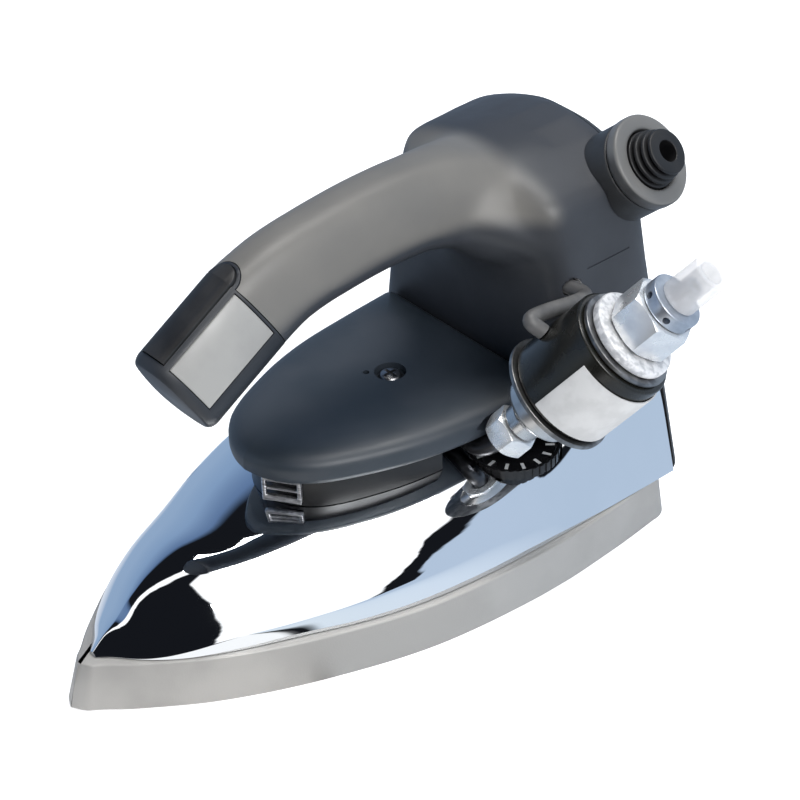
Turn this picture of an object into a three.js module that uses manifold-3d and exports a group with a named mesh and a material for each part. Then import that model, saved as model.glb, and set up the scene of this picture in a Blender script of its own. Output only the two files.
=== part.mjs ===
// Gravity feed steam iron, an assembly of separate parts.
// Millimetres. The origin is the middle of the sole's underside, +Z is up, the tip points to -Y
// and the dial, the water valve and the cord entry are on the +X side.

import * as THREE from 'three';
import { mergeVertices } from 'three/addons/utils/BufferGeometryUtils.js';
import Module from 'manifold-3d';

const wasm = await Module();
wasm.setup();

// Clearance between neighbours and overrun of every cut
const gap = 0.3;
const over = 3;

// Facets round a hexagon, a thin lead, a steam hole or tube, a small rod, a turned piece and a
// visible round piece, and steps round a small corner
const hexSides = 6;
const leadSides = 6;
const tubeSides = 8;
const rodSides = 12;
const turnSides = 20;
const roundSides = 32;
const bendSteps = 5;

// Sole casting, with its outline as shares of the length and of the half width
const sole = {
  length: 208, halfWidth: 59.5, thick: 15.6, corner: 9, sideDraft: 1.5, tipSweep: 2.7, edge: 0.8, steps: 22,
  outlineShares: [[0, 0], [0.012, 0.075], [0.03, 0.125], [0.08, 0.27], [0.18, 0.506], [0.32, 0.734],
    [0.5, 0.929], [0.7, 1], [0.85, 0.978], [0.962, 0.934]],
};

// Steam chamber in the casting, with its gasket and its screwed cover
const chamber = {
  tipY: -60, heelY: 62, halfWidth: 21, corner: 5, floor: 7, flange: 4, gasket: 0.8, cover: 2.6, steps: 12,
  outlineShares: [[0, 0], [0.03, 0.22], [0.12, 0.5], [0.35, 0.85], [0.65, 1], [0.96, 1]],
  holeRadius: 1.6, holeRows: 6, holePitch: 15, holeFirstY: -46, holeFirstX: 4.5, holeSpread: 1.9,
  screwRadius: 1.5, screwHead: 2.7, screwHeadTall: 1.8, screwLong: 6,
  screwShares: [0.17, 0.4, 0.6, 0.83],
};

// Sheathed heating element, a U in an open groove with both ends turned up at the heel
const element = {
  radius: 4, floor: 5.4, lift: 1.3, pit: 9, legY: 78, riseY: 90, top: 36, legX: 40, bendX: 31, steps: 36,
  routeShares: [[0.925, 1], [1, 0.45], [0.925, 0], [0.66, -0.43], [0.3, -0.84], [0, -0.97]],
};

// Chromed hood: at each share of its length the half width, height, roundness and side lean
const hood = {
  tipY: -94, heelY: 105.4, halfWidth: 55, tall: 39.4, wall: 1.2, sides: 14, steps: 20,
  stationShares: [
    [0, 0.03, 0.03, 1.3, 0], [0.02, 0.1, 0.12, 1.3, 0], [0.045, 0.21, 0.2, 1.35, 0],
    [0.081, 0.33, 0.365, 1.45, 0], [0.121, 0.43, 0.475, 1.6, 0], [0.182, 0.545, 0.558, 1.78, 0],
    [0.27, 0.68, 0.59, 1.95, 0], [0.374, 0.832, 0.665, 2.2, 0], [0.475, 0.93, 0.71, 2.5, 0],
    [0.6, 0.985, 0.765, 2.8, 0.03], [0.73, 1, 0.81, 3.2, 0.08], [0.83, 1, 0.93, 5, 0.14],
    [0.9, 1, 0.985, 7, 0.165], [1, 1, 1, 8, 0.17],
  ],
  windowHalf: 33, windowFrontY: 84,
};

// Hex posts that carry the shield and the handle, with their screws
const post = {
  radius: 4.6, shieldY: 30, handleX: 22, handleY: 76, screwRadius: 2, screwHole: 0.4, screwDeep: 9,
  headRadius: 4, headTall: 2.2, driver: 1.1, driverShare: 0.62,
};

// Heat shield under the hand, with its outline as shares of its length and half width
const shield = {
  frontY: -31, heelY: 65, halfWidth: 40, bottom: 54, top: 64, edge: 3, corner: 3, steps: 20,
  outlineShares: [[0, 0], [0.012, 0.15], [0.04, 0.3], [0.09, 0.45], [0.16, 0.575], [0.27, 0.7],
    [0.42, 0.83], [0.58, 0.915], [0.78, 0.965], [0.97, 1]],
  edgeShares: [[1, 0], [0.3, 0.3], [0, 1]],
  screwRecess: 5.2, screwRecessDeep: 2.6, pinY: 24, pinX: -5, pinRadius: 1.1,
};

// Insulating foot between hood and shield, with a notch for the pipe and the dial
const spacer = { inset: 7, low: 36, notchX: 7, notchY: 25 };

// Bright slotted clip on the front of the foot
const clip = { x: 8.4, y: -23, z: 48.4, wide: 13, tall: 9.4, thick: 1.8, slot: 2, bars: 3, turn: 33 };

// Handle grip, from its seam into the housing: along and rise of the centre line, half width and
// half height, as shares
const grip = {
  seamY: -27.8, seamZ: 116.5, slope: 31, sunk: 18.7, rise: 7.6, halfWidth: 12.6, halfHeight: 14.2, chin: 4.2,
  wall: 2.6, roundShare: 0.74, leanShare: 0.27, sides: 20, steps: 14,
  stationShares: [[0, 0, 1, 1, 1], [0.12, 0.56, 1.01, 1, 0.4], [0.27, 0.83, 1.03, 1.02, 0],
    [0.43, 1, 1.04, 1.02, 0], [0.6, 0.93, 1.08, 1.03, 0], [0.74, 0.56, 1.42, 1.12, 0],
    [0.86, -0.25, 2.2, 1.34, 0], [1, -0.6, 2.6, 1.45, 0]],
};

// Rear housing and its cover: rings of height, half width, front and rear inset, rear corner
const tower = {
  frontY: 65.5, rearY: 110.4, seamY: 105.8, low: 50, tall: 116.4, proud: 0.4, wall: 2.6,
  frontCorner: 7, rearCorner: 12, cornerSteps: 4, cavityTop: 126,
  ringShares: [[0, 1, 0, 0.35, 0.35], [0.355, 0.84, 0, 0.1, 0.55], [0.64, 0.757, 0, 0, 1],
    [0.905, 0.655, 0, 0, 1], [0.93, 0.605, 0.1, 0.05, 1], [0.958, 0.475, 0.3, 0.2, 0.95],
    [0.982, 0.31, 0.7, 0.5, 0.8], [1, 0.11, 1.4, 1.1, 0.4]],
  insetStep: 4, floorLow: 57.5, floorThick: 3, floorRearY: 98, leadHole: 6, leadHoleY: 73,
  bossRadius: 4, bossX: 24, bossZ: 84, screwRadius: 1.5, screwLong: 13, headRadius: 3.2, headTall: 2,
};

// Nose cap with its side plates, thumb button and microswitch, in the nose's own frame
const nose = {
  long: 35.4, endRound: 3.8, endShares: [[1, 1], [0.55, 0.985], [0.2, 0.935], [0, 0.86]], wall: 2.4,
  plateFront: 31.4, plateRear: 1.4, plateLow: -5.4, plateHigh: 12, plateThick: 1.5, bezel: 1.3,
  tongueHalf: 4, tongueLow: -14.4, tongueHigh: -11.2, tongueBack: 9, tongueFront: 4, screwZ: -5,
};
const button = {
  half: 5, rear: -5, front: 31.2, low: 10.3, high: 15, stemRadius: 2, travel: 2.2, at: 17,
};
const microswitch = {
  half: 4, low: -5.6, high: 4.4, rear: 7.5, front: 26.5, plungerRadius: 1.3, plungerLong: 3.8,
  bore: 0.3, boreDeep: 4.4, screwRadius: 1, headRadius: 1.7, screwInset: 3.6,
  ribLow: -5, ribHigh: 3.8, ribBack: 12.6,
};

// Terminal block on the housing floor and the leads that run from it
const terminal = {
  halfX: 18, frontY: 83, rearY: 95.6, tall: 13, screwCount: 2, screwRadius: 2.2, screwTall: 1.6,
  leadRadius: 1.5, leadX: 10, leadBackY: 100.6, leadZ: 68, leadSteps: 14,
};
const fuse = { radius: 2.4, long: 24, x: -11, y: 18 };

// Cord entry on the housing's rear top corner, in its own frame with the axis as Z
const gland = {
  fromSide: 19.4, fromRear: 4.2, belowTop: 7, axisShares: [0.739, 0.1945, 0.643],
  collarRadius: 15.2, collarLong: 15, bore: 7.2, nutRadius: 16.2, nutThick: 5.2, nutRound: 1.6,
  nutBore: 10, bushRadius: 9.4, bushEnd: 6.4, bushLong: 12.4, bushTail: 9, cordHole: 3.7,
  ribs: 3, ribDeep: 1.3, ribSlopeShare: 0.2,
};

// Thermostat with its dial, which stands on a round base let through the hood
const dial = {
  x: 34.8, y: 51.4, top: 43, radius: 15.4, tall: 3.4, baseRadius: 11,
  grips: 18, gripDeep: 0.5, rimWide: 1.2, rimHigh: 0.5, shaft: 3, shaftShare: 0.6,
  bodyRadius: 9.2, bodyTall: 10,
};

// Solenoid water valve beside the housing, in its own frame: Z runs from the outlet to the hose
const valve = {
  fromSide: 2.2, y: 49.4, z: 74.7, axisShares: [0.555, 0.383, 0.739],
  nutRadius: 8.2, nutLow: -26, nutHigh: -18, bodyNeck: 6.6, bodyWide: 12, bodyNeckTop: -12.6,
  bodyRise: 3.6, seat: 1.6, flangeRadius: 20, flangeThick: 1.6, coilRadius: 18.4, coilTop: 31,
  rimRadius: 16.8, rimTop: 33, capRadius: 15, capTop: 36.6, tubeRadius: 6, tubeTop: 37.2,
  tubeWall: 1, endNutRadius: 12, endNutTop: 49.6, fittingRadius: 9.4, fittingTop: 55,
  barbRadius: 3.2, barbTop: 63, waterHole: 1.7, hoseRadius: 6.3, hoseWall: 2.4, hoseTop: 70,
  labelLow: 3.6, labelHigh: 26, labelThick: 0.5, labelFrom: 156, labelSweep: 112, labelSteps: 8,
  armatureRadius: 4.5, armatureLong: 22, screwHole: 1.2, screwHoles: 3,
};

// Pipe from the valve's outlet, under the shield and down into the steam chamber
const pipe = { radius: 3.2, wall: 1, hoodClear: 2.6, runZ: 50.2, downX: 15, downY: 36, steps: 18, turn: 7 };

// Sleeve with the coil's leads, from the coil into the housing's side
const sleeve = {
  radius: 2.6, along: 14, reach: 5.4, houseY: 72, houseZ: 96, turnAngle: 90, hole: 0.7, steps: 16,
};

// Finishes
const metalFinish = (color, roughness) =>
  new THREE.MeshStandardMaterial({ color, roughness, metalness: 1 });
const plasticFinish = (color, roughness) =>
  new THREE.MeshStandardMaterial({ color, roughness, metalness: 0 });
const castAluminium = metalFinish(0xa6a5a0, 0.42);
const chrome = metalFinish(0xdfe4ea, 0.06);
const steel = metalFinish(0xb9bcc0, 0.3);
const brass = metalFinish(0xc2a15a, 0.35);
const handlePlastic = plasticFinish(0x34363a, 0.45);
const shieldPlastic = plasticFinish(0x23272c, 0.5);
const blackPlastic = plasticFinish(0x141518, 0.4);
const greyPlate = plasticFinish(0xaaaaa6, 0.4);
const rubber = plasticFinish(0x232427, 0.8);
const coilResin = plasticFinish(0x1d1e17, 0.35);
const whitePlastic = plasticFinish(0xe9ebec, 0.5);
const hoseClear = plasticFinish(0xdfe6ea, 0.3);
const gasketRed = plasticFinish(0x9a4a35, 0.7);
const bakelite = plasticFinish(0x3a2a22, 0.6);

// A closed geometry as a solid: merged points, no flat triangles, faces outward
function solid(geometry) {
  const bare = new THREE.BufferGeometry();
  bare.setAttribute('position', geometry.getAttribute('position').clone());
  if (geometry.index) {
    bare.setIndex(geometry.index.clone());
  }
  const merged = mergeVertices(bare);
  const points = merged.getAttribute('position').array;
  const source = merged.index.array;
  const faces = [];
  let volume = 0;
  for (let i = 0; i < source.length; i += 3) {
    const [a, b, c] = source.slice(i, i + 3);
    if (a === b || b === c || c === a) {
      continue;
    }
    const [pa, pb, pc] = [a, b, c].map((k) => new THREE.Vector3().fromArray(points, k * 3));
    volume += pa.dot(pb.cross(pc));
    faces.push(a, b, c);
  }
  if (volume < 0) {
    faces.reverse();
  }
  const mesh = new wasm.Mesh({
    numProp: 3,
    vertProperties: new Float32Array(points),
    triVerts: new Uint32Array(faces),
  });
  return new wasm.Manifold(mesh);
}

// A solid back as a geometry
function geometryOf(body) {
  const mesh = body.getMesh();
  const geometry = new THREE.BufferGeometry();
  geometry.setAttribute('position', new THREE.BufferAttribute(new Float32Array(mesh.vertProperties), 3));
  geometry.setIndex(new THREE.BufferAttribute(new Uint32Array(mesh.triVerts), 1));
  geometry.computeVertexNormals();
  return geometry;
}

// Adds one named part to a group
function part(group, name, body, finish) {
  const mesh = new THREE.Mesh(geometryOf(body), finish);
  mesh.name = name;
  group.add(mesh);
}

// Adds one part for each copy of a repeated piece, numbered from 1
function copies(group, name, bodies, finish) {
  bodies.forEach((body, index) => part(group, `${name}_${index + 1}`, body, finish));
}

// All bodies joined, or cut from the first
function joined(bodies) {
  return bodies.reduce((sum, body) => sum.add(body));
}

function cut(body, ...tools) {
  return tools.reduce((rest, tool) => rest.subtract(tool), body);
}

// A box between two corners
function box(x0, x1, y0, y1, z0, z1) {
  const geometry = new THREE.BoxGeometry(x1 - x0, y1 - y0, z1 - z0);
  return solid(geometry.translate((x0 + x1) / 2, (y0 + y1) / 2, (z0 + z1) / 2));
}

// An upright rod, and one along the X or Y axis
function rod(x, y, z0, z1, radius, sides = rodSides) {
  const geometry = new THREE.CylinderGeometry(radius, radius, z1 - z0, sides);
  return solid(geometry.rotateX(Math.PI / 2).translate(x, y, (z0 + z1) / 2));
}

function rodAlongY(x, z, y0, y1, radius, sides = rodSides) {
  const geometry = new THREE.CylinderGeometry(radius, radius, y1 - y0, sides);
  return solid(geometry.translate(x, (y0 + y1) / 2, z));
}

function rodAlongX(y, z, x0, x1, radius, sides = rodSides) {
  const geometry = new THREE.CylinderGeometry(radius, radius, x1 - x0, sides);
  return solid(geometry.rotateZ(Math.PI / 2).translate((x0 + x1) / 2, y, z));
}

// A piece turned round Z from a closed profile of [radius, height]
function turned(profile, sides = turnSides) {
  const points = [...profile, profile[0]].map(([r, z]) => new THREE.Vector2(r, z));
  return solid(new THREE.LatheGeometry(points, sides).rotateX(Math.PI / 2));
}

// A plain ring or washer round Z
function ring(outer, inner, z0, z1, sides = turnSides) {
  return turned([[inner, z0], [outer, z0], [outer, z1], [inner, z1]], sides);
}

// A solid tube or rod along a curve
function along(curve, radius, sides, steps) {
  const shape = new THREE.Shape();
  shape.absarc(0, 0, radius, 0, Math.PI * 2);
  const outline = new THREE.Shape(shape.getSpacedPoints(sides).slice(0, sides));
  return solid(new THREE.ExtrudeGeometry(outline, { extrudePath: curve, steps }));
}

// A plan outline raised between two heights
function raised(outline, z0, z1) {
  const shape = new THREE.Shape(outline);
  const geometry = new THREE.ExtrudeGeometry(shape, { depth: z1 - z0, bevelEnabled: false });
  return solid(geometry.translate(0, 0, z0));
}

// A skin through rings of equal point count, closed by a fan at each end
function loft(rings) {
  const count = rings[0].length;
  const points = rings.flat();
  const faces = [];
  for (let r = 0; r < rings.length - 1; r += 1) {
    for (let i = 0; i < count; i += 1) {
      const a = r * count + i;
      const b = r * count + (i + 1) % count;
      faces.push(a, b, a + count, b, b + count, a + count);
    }
  }
  const lastStart = (rings.length - 1) * count;
  const middle = (list) => list.reduce((sum, p) => sum.add(p), new THREE.Vector3()).divideScalar(count);
  points.push(middle(rings[0]), middle(rings.at(-1)));
  for (let i = 0; i < count; i += 1) {
    const next = (i + 1) % count;
    faces.push(points.length - 2, next, i);
    faces.push(points.length - 1, lastStart + i, lastStart + next);
  }
  const geometry = new THREE.BufferGeometry().setFromPoints(points);
  geometry.setIndex(faces);
  return solid(geometry);
}

// A boat shaped plan outline, from the tip round the near side, the heel and the far side
function boat(tipY, heelY, halfWidth, corner, shares, steps) {
  const length = heelY - tipY;
  const spline = new THREE.SplineCurve(shares.map(([y, x]) =>
    new THREE.Vector2(x * halfWidth, tipY + y * length)));
  const side = spline.getPoints(steps);
  const end = side.at(-1);
  const bend = new THREE.QuadraticBezierCurve(end, new THREE.Vector2(end.x, heelY),
    new THREE.Vector2(end.x - corner, heelY));
  const near = [...side, ...bend.getPoints(bendSteps).slice(1)];
  const far = near.slice(1).reverse().map((p) => new THREE.Vector2(-p.x, p.y));
  return [...near, ...far];
}

// An outline moved inwards all round
function inset(outline, distance) {
  return outline.map((point, i) => {
    const next = outline[(i + 1) % outline.length];
    const way = next.clone().sub(outline.at(i - 1)).normalize();
    return new THREE.Vector2(point.x - way.y * distance, point.y + way.x * distance);
  });
}

// An outline as points at one height
function level(outline, z) {
  return outline.map((p) => new THREE.Vector3(p.x, p.y, z));
}

// Value of one column of a share table at a place along it
function tableAt(shares, place, column) {
  const high = Math.max(1, shares.findIndex(([start]) => start >= place));
  const [low, top] = [shares[high - 1], shares[high]];
  return low[column] + (top[column] - low[column]) * (place - low[0]) / (top[0] - low[0]);
}

// Group whose Z runs along an axis, with X kept level
function groupAlong(x, y, z, axisShares) {
  const zAxis = new THREE.Vector3(...axisShares).normalize();
  const xAxis = new THREE.Vector3(0, 0, 1).cross(zAxis).normalize();
  const yAxis = zAxis.clone().cross(xAxis);
  const group = new THREE.Group();
  group.setRotationFromMatrix(new THREE.Matrix4().makeBasis(xAxis, yAxis, zAxis));
  group.position.set(x, y, z);
  group.updateMatrixWorld(true);
  return group;
}

// A body of the main frame, written in a group's own frame
function inFrameOf(group, body) {
  return solid(geometryOf(body).applyMatrix4(group.matrixWorld.clone().invert()));
}

// A body of a group's own frame, written in the main frame
function outOfFrame(group, body) {
  return solid(geometryOf(body).applyMatrix4(group.matrixWorld));
}

const iron = new THREE.Group();
const soleTop = sole.thick;
const towerTop = soleTop + gap + tower.tall;
const towerHalf = hood.halfWidth + tower.proud;
const glandGroup = groupAlong(towerHalf - gland.fromSide, tower.rearY - gland.fromRear,
  towerTop - gland.belowTop, gland.axisShares);
const valveGroup = groupAlong(towerHalf + valve.fromSide, valve.y, valve.z, valve.axisShares);
const noseGroup = new THREE.Group();
noseGroup.position.set(0, grip.seamY, grip.seamZ);
noseGroup.rotation.x = THREE.MathUtils.degToRad(90 + grip.slope);
noseGroup.updateMatrixWorld(true);
iron.add(glandGroup, valveGroup, noseGroup);

const coverTop = soleTop + chamber.gasket + chamber.cover;
const chamberOutline = boat(chamber.tipY, chamber.heelY, chamber.halfWidth, chamber.corner,
  chamber.outlineShares, chamber.steps);
const flangeOutline = inset(chamberOutline, -chamber.flange);
const screwLine = inset(chamberOutline, -chamber.flange / 2);
const chamberScrewPlaces = chamber.screwShares.map((share) =>
  screwLine[Math.round(share * screwLine.length)]);

// Hood height at a place along it
function hoodTop(y) {
  const place = (y - hood.tipY) / (hood.heelY - hood.tipY);
  return soleTop + gap + hood.tall * tableAt(hood.stationShares, place, 2);
}

// The hood's form, moved out by some growth and run on past its base and heel
function hoodForm(growth, drop, runOn) {
  const length = hood.heelY - hood.tipY;
  const table = new THREE.CatmullRomCurve3(hood.stationShares.map(([y, w, t]) =>
    new THREE.Vector3(y, w, t)));
  const base = soleTop + gap;
  const rings = [];
  for (let i = 0; i <= hood.steps; i += 1) {
    const { x: place, y: wideShare, z: tallShare } = table.getPoint(i / hood.steps);
    const roundness = tableAt(hood.stationShares, Math.min(place, 1), 3);
    const lean = tableAt(hood.stationShares, Math.min(place, 1), 4);
    const wide = Math.max(wideShare * hood.halfWidth + growth, gap);
    const tall = Math.max(tallShare * hood.tall + growth, gap);
    const y = hood.tipY - growth + place * (length + growth) + (i === hood.steps ? runOn : 0);
    const ringPoints = [new THREE.Vector3(wide, y, base - drop)];
    for (let k = 0; k <= hood.sides; k += 1) {
      const angle = Math.PI * k / hood.sides;
      const high = Math.sin(angle) ** (2 / roundness);
      const out = Math.sign(Math.cos(angle)) * Math.abs(Math.cos(angle)) ** (2 / roundness);
      ringPoints.push(new THREE.Vector3(wide * out * (1 - lean * high), y, base + tall * high));
    }
    ringPoints.push(new THREE.Vector3(-wide, y, base - drop));
    rings.push(ringPoints);
  }
  return loft(rings);
}

// A place on the grip's centre line, from its shares
const gripSpan = tower.frontY + grip.sunk - grip.seamY;
function gripPlace(along, rise) {
  return new THREE.Vector3(0, grip.seamY + along * gripSpan, grip.seamZ + rise * grip.rise);
}

// Cross section of the grip as [across, up]
function gripSection(halfWidth, halfHeight, chin) {
  const soften = (value) => Math.sign(value) * Math.abs(value) ** grip.roundShare;
  const points = [];
  for (let i = 0; i < grip.sides; i += 1) {
    const angle = Math.PI * 2 * (i + 0.5) / grip.sides;
    const high = soften(Math.sin(angle));
    const out = soften(Math.cos(angle)) * (1 - grip.leanShare * high);
    points.push([halfWidth * out, (high > 0 ? halfHeight : halfHeight + chin) * high]);
  }
  return points;
}

// The grip's form from the seam into the housing, thinned by a wall
function gripForm(wall, back) {
  const slope = THREE.MathUtils.degToRad(grip.slope);
  const centre = new THREE.CatmullRomCurve3(grip.stationShares.map(([y, z]) => gripPlace(y, z)));
  const size = new THREE.CatmullRomCurve3(grip.stationShares.map(([, , w, h, chin]) =>
    new THREE.Vector3(w, h, chin)));
  const rings = [];
  for (let i = 0; i <= grip.steps; i += 1) {
    const t = i / grip.steps;
    const middle = centre.getPoint(t);
    const scale = size.getPoint(t);
    const way = centre.getTangent(t);
    const turn = i === 0 ? slope : Math.atan2(way.z, way.y);
    if (i === 0) {
      middle.y -= back * Math.cos(turn);
      middle.z -= back * Math.sin(turn);
    }
    const section = gripSection(grip.halfWidth * scale.x - wall, grip.halfHeight * scale.y - wall,
      grip.chin * scale.z);
    rings.push(section.map(([x, up]) =>
      new THREE.Vector3(x, middle.y - up * Math.sin(turn), middle.z + up * Math.cos(turn))));
  }
  return loft(rings);
}

// The rear housing's form, thinned by a wall
function towerForm(wall, lowRun, rearRun) {
  const rings = tower.ringShares.map(([rise, wideShare, front, rear, cornerShare], index) => {
    const half = wideShare * towerHalf - wall;
    const y0 = tower.frontY + front * tower.insetStep + wall;
    const y1 = tower.rearY - rear * tower.insetStep - wall + rearRun;
    const z = towerTop - (1 - rise) * tower.tall - (index === 0 ? lowRun : 0) - (rise === 1 ? wall : 0);
    const frontRadius = Math.min(tower.frontCorner, half / 2);
    const rearRadius = Math.min(tower.rearCorner * cornerShare, half / 2);
    const corners = [[half, y0, frontRadius], [half, y1, rearRadius],
      [-half, y1, rearRadius], [-half, y0, frontRadius]];
    return corners.flatMap(([x, y, radius], corner) => {
      const points = [];
      for (let k = 0; k <= tower.cornerSteps; k += 1) {
        const angle = Math.PI / 2 * (corner - 1 + k / tower.cornerSteps);
        points.push(new THREE.Vector3(x - Math.sign(x) * radius + radius * Math.cos(angle),
          y + (y === y1 ? -radius : radius) + radius * Math.sin(angle), z));
      }
      return points;
    });
  });
  return loft(rings);
}

const hoodOuter = hoodForm(0, 0, 0);
const hoodGrown = hoodForm(gap, over, over);
const towerOuter = towerForm(0, 0, 0);
const towerGrown = towerForm(-gap, 0, 0);
const glandBore = outOfFrame(glandGroup,
  rod(0, 0, -gland.collarLong - gland.bushTail, over, gland.bore, turnSides));

// Sole casting with the chamber, the steam holes, the element's groove and the screw holes
function makeSole() {
  const halfLength = sole.length / 2;
  const outline = boat(-halfLength, halfLength, sole.halfWidth, sole.corner, sole.outlineShares,
    sole.steps);
  const swept = (points) => points.map((p) =>
    new THREE.Vector2(p.x, p.y + sole.tipSweep * Math.max(0, -p.y) / halfLength));
  const rings = [
    level(inset(outline, sole.edge), 0),
    level(outline, sole.edge),
    level(swept(inset(outline, sole.sideDraft)), sole.thick - sole.edge),
    level(swept(inset(outline, sole.sideDraft + sole.edge)), sole.thick),
  ];
  const pocket = raised(chamberOutline, chamber.floor, sole.thick + over);
  const holes = [];
  for (let row = 0; row < chamber.holeRows; row += 1) {
    const y = chamber.holeFirstY + row * chamber.holePitch;
    const x = chamber.holeFirstX + row * chamber.holeSpread;
    [x, -x].forEach((place) =>
      holes.push(rod(place, y, -over, chamber.floor + over, chamber.holeRadius, tubeSides)));
  }
  const screwHoles = chamberScrewPlaces.map((p) =>
    rod(p.x, p.y, sole.thick - chamber.screwLong - gap, sole.thick + over, chamber.screwRadius + gap));
  const route = elementRoute().getSpacedPoints(element.steps).map((p) => new THREE.Vector2(p.x, p.y));
  const leg = route.filter((p) => p.y < element.riseY - gap);
  const half = element.radius + gap * 2;
  const wayAt = (i) =>
    leg[Math.min(i + 1, leg.length - 1)].clone().sub(leg[Math.max(i - 1, 0)]).normalize();
  const offset = (side) => leg.map((p, i) => {
    const way = wayAt(i);
    return new THREE.Vector2(p.x - side * half * way.y, p.y + side * half * way.x);
  });
  const groove = raised([...offset(1), ...offset(-1).reverse()], element.floor, sole.thick + over);
  const pits = [1, -1].map((side) => rod(side * element.bendX, element.riseY, element.floor,
    sole.thick + over, element.pit, turnSides));
  return cut(loft(rings), pocket, joined(holes), joined(screwHoles), groove, ...pits);
}

// Centre line of the element, from one end up at the heel to the other
function elementRoute() {
  const z = element.floor + element.radius + element.lift;
  const half = element.routeShares.map(([out, back]) =>
    new THREE.Vector3(out * element.legX, back * element.legY, z));
  const rise = [
    new THREE.Vector3(element.bendX, element.riseY, element.top),
    new THREE.Vector3(element.bendX, element.riseY, sole.thick + element.radius),
  ];
  const near = [...rise, ...half];
  const far = near.slice(0, -1).reverse().map((p) => new THREE.Vector3(-p.x, p.y, p.z));
  return new THREE.CatmullRomCurve3([...near, ...far], false, 'centripetal');
}

part(iron, 'soleplate', makeSole(), castAluminium);
part(iron, 'heating_element', along(elementRoute(), element.radius, tubeSides, element.steps), steel);

// Chamber gasket, cover and screws
const coverHoles = joined(chamberScrewPlaces.map((p) =>
  rod(p.x, p.y, 0, coverTop + over, chamber.screwRadius + gap)));
const gasketHole = raised(chamberOutline, 0, coverTop + over);
part(iron, 'chamber_gasket',
  cut(raised(flangeOutline, soleTop, soleTop + chamber.gasket), gasketHole, coverHoles), gasketRed);
part(iron, 'chamber_cover',
  cut(raised(flangeOutline, soleTop + chamber.gasket, coverTop), coverHoles,
    rod(pipe.downX, pipe.downY, 0, coverTop + over, pipe.radius + gap)), steel);
copies(iron, 'chamber_screw', chamberScrewPlaces.map((p) => joined([
  rod(p.x, p.y, soleTop - chamber.screwLong, coverTop + chamber.screwHeadTall / 2, chamber.screwRadius),
  rod(p.x, p.y, coverTop, coverTop + chamber.screwHeadTall, chamber.screwHead),
])), steel);
part(iron, 'thermal_fuse', rodAlongY(fuse.x, coverTop + fuse.radius + gap / 2,
  fuse.y - fuse.long / 2, fuse.y + fuse.long / 2, fuse.radius), whitePlastic);

// Chromed hood, open below and at the heel
const postPlaces = [[0, post.shieldY, coverTop], [post.handleX, post.handleY, soleTop],
  [-post.handleX, post.handleY, soleTop]];
const hoodHoles = postPlaces.map(([x, y]) =>
  rod(x, y, soleTop, tower.floorLow, post.screwRadius + post.screwHole));
part(iron, 'shell', cut(hoodOuter, hoodForm(-hood.wall, over, over), ...hoodHoles,
  rod(dial.x, dial.y, dial.top - dial.tall - gap * 2, shield.top, dial.radius + gap * 2, roundSides),
  rod(dial.x, dial.y, soleTop + dial.bodyTall, shield.top, dial.baseRadius + gap, turnSides),
  rod(pipe.downX, pipe.downY, soleTop, shield.top, pipe.radius + pipe.hoodClear),
  box(-hood.windowHalf, hood.windowHalf, hood.windowFrontY, tower.rearY, hoodTop(hood.windowFrontY) - over,
    tower.floorLow)), chrome);

// Posts, with a hole for each screw
const postTop = ([, y]) => hoodTop(y) - hood.wall - gap * 4;
copies(iron, 'post', postPlaces.map((place) => {
  const [x, y, low] = place;
  return cut(rod(x, y, low, postTop(place), post.radius, hexSides),
    rod(x, y, postTop(place) - post.screwDeep, postTop(place) + over, post.screwRadius + gap));
}), steel);

// Screw with a pan head and a driver cross, standing on a level face over a post
const screwEnd = (place) => postTop(place) - post.screwDeep + gap * 2;
function panScrew(x, y, seat, end) {
  const top = seat + post.headTall;
  const low = seat + post.headTall / 2;
  const bar = post.headRadius * post.driverShare;
  const wide = post.driver / 2;
  const body = joined([rod(x, y, end, low, post.screwRadius),
    rod(x, y, seat, top, post.headRadius, turnSides)]);
  return cut(body, box(x - bar, x + bar, y - wide, y + wide, low, top + over),
    box(x - wide, x + wide, y - bar, y + bar, low, top + over));
}

// Heat shield: a long oval slab with rounded edges, a screw recess and a small pin hole
const shieldOutline = boat(shield.frontY, shield.heelY, shield.halfWidth, shield.corner,
  shield.outlineShares, shield.steps);
const shieldRing = ([back, up], face, way) =>
  level(inset(shieldOutline, back * shield.edge), face + way * up * shield.edge);
const shieldRings = [
  ...shield.edgeShares.map((share) => shieldRing(share, shield.bottom, 1)),
  ...shield.edgeShares.map((share) => shieldRing(share, shield.top, -1)).reverse(),
];
const shieldSeat = shield.top - shield.screwRecessDeep;
part(iron, 'heat_shield', cut(loft(shieldRings),
  rod(0, post.shieldY, shieldSeat, shield.top + over, shield.screwRecess, turnSides),
  rod(0, post.shieldY, shield.bottom - over, shield.top, post.screwRadius + post.screwHole),
  rod(shield.pinX, shield.pinY, shieldSeat, shield.top + over, shield.pinRadius),
  outOfFrame(valveGroup, rod(0, 0, valve.nutLow - over, 0, valve.nutRadius + gap, turnSides))),
shieldPlastic);
part(iron, 'shield_screw', panScrew(0, post.shieldY, shieldSeat, screwEnd(postPlaces[0])), steel);

// Foot under the shield, cut to the hood's form
const spacerOutline = boat(shield.frontY + spacer.inset, shield.heelY - spacer.inset,
  shield.halfWidth - spacer.inset, shield.corner, shield.outlineShares, shield.steps);
part(iron, 'shield_spacer', cut(raised(spacerOutline, spacer.low, shield.bottom), hoodGrown,
  box(spacer.notchX, shield.halfWidth, spacer.notchY, shield.heelY, spacer.low - over,
    shield.bottom + over),
  rod(0, post.shieldY, spacer.low - over, shield.bottom + over, post.screwRadius + post.screwHole)),
blackPlastic);

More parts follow.
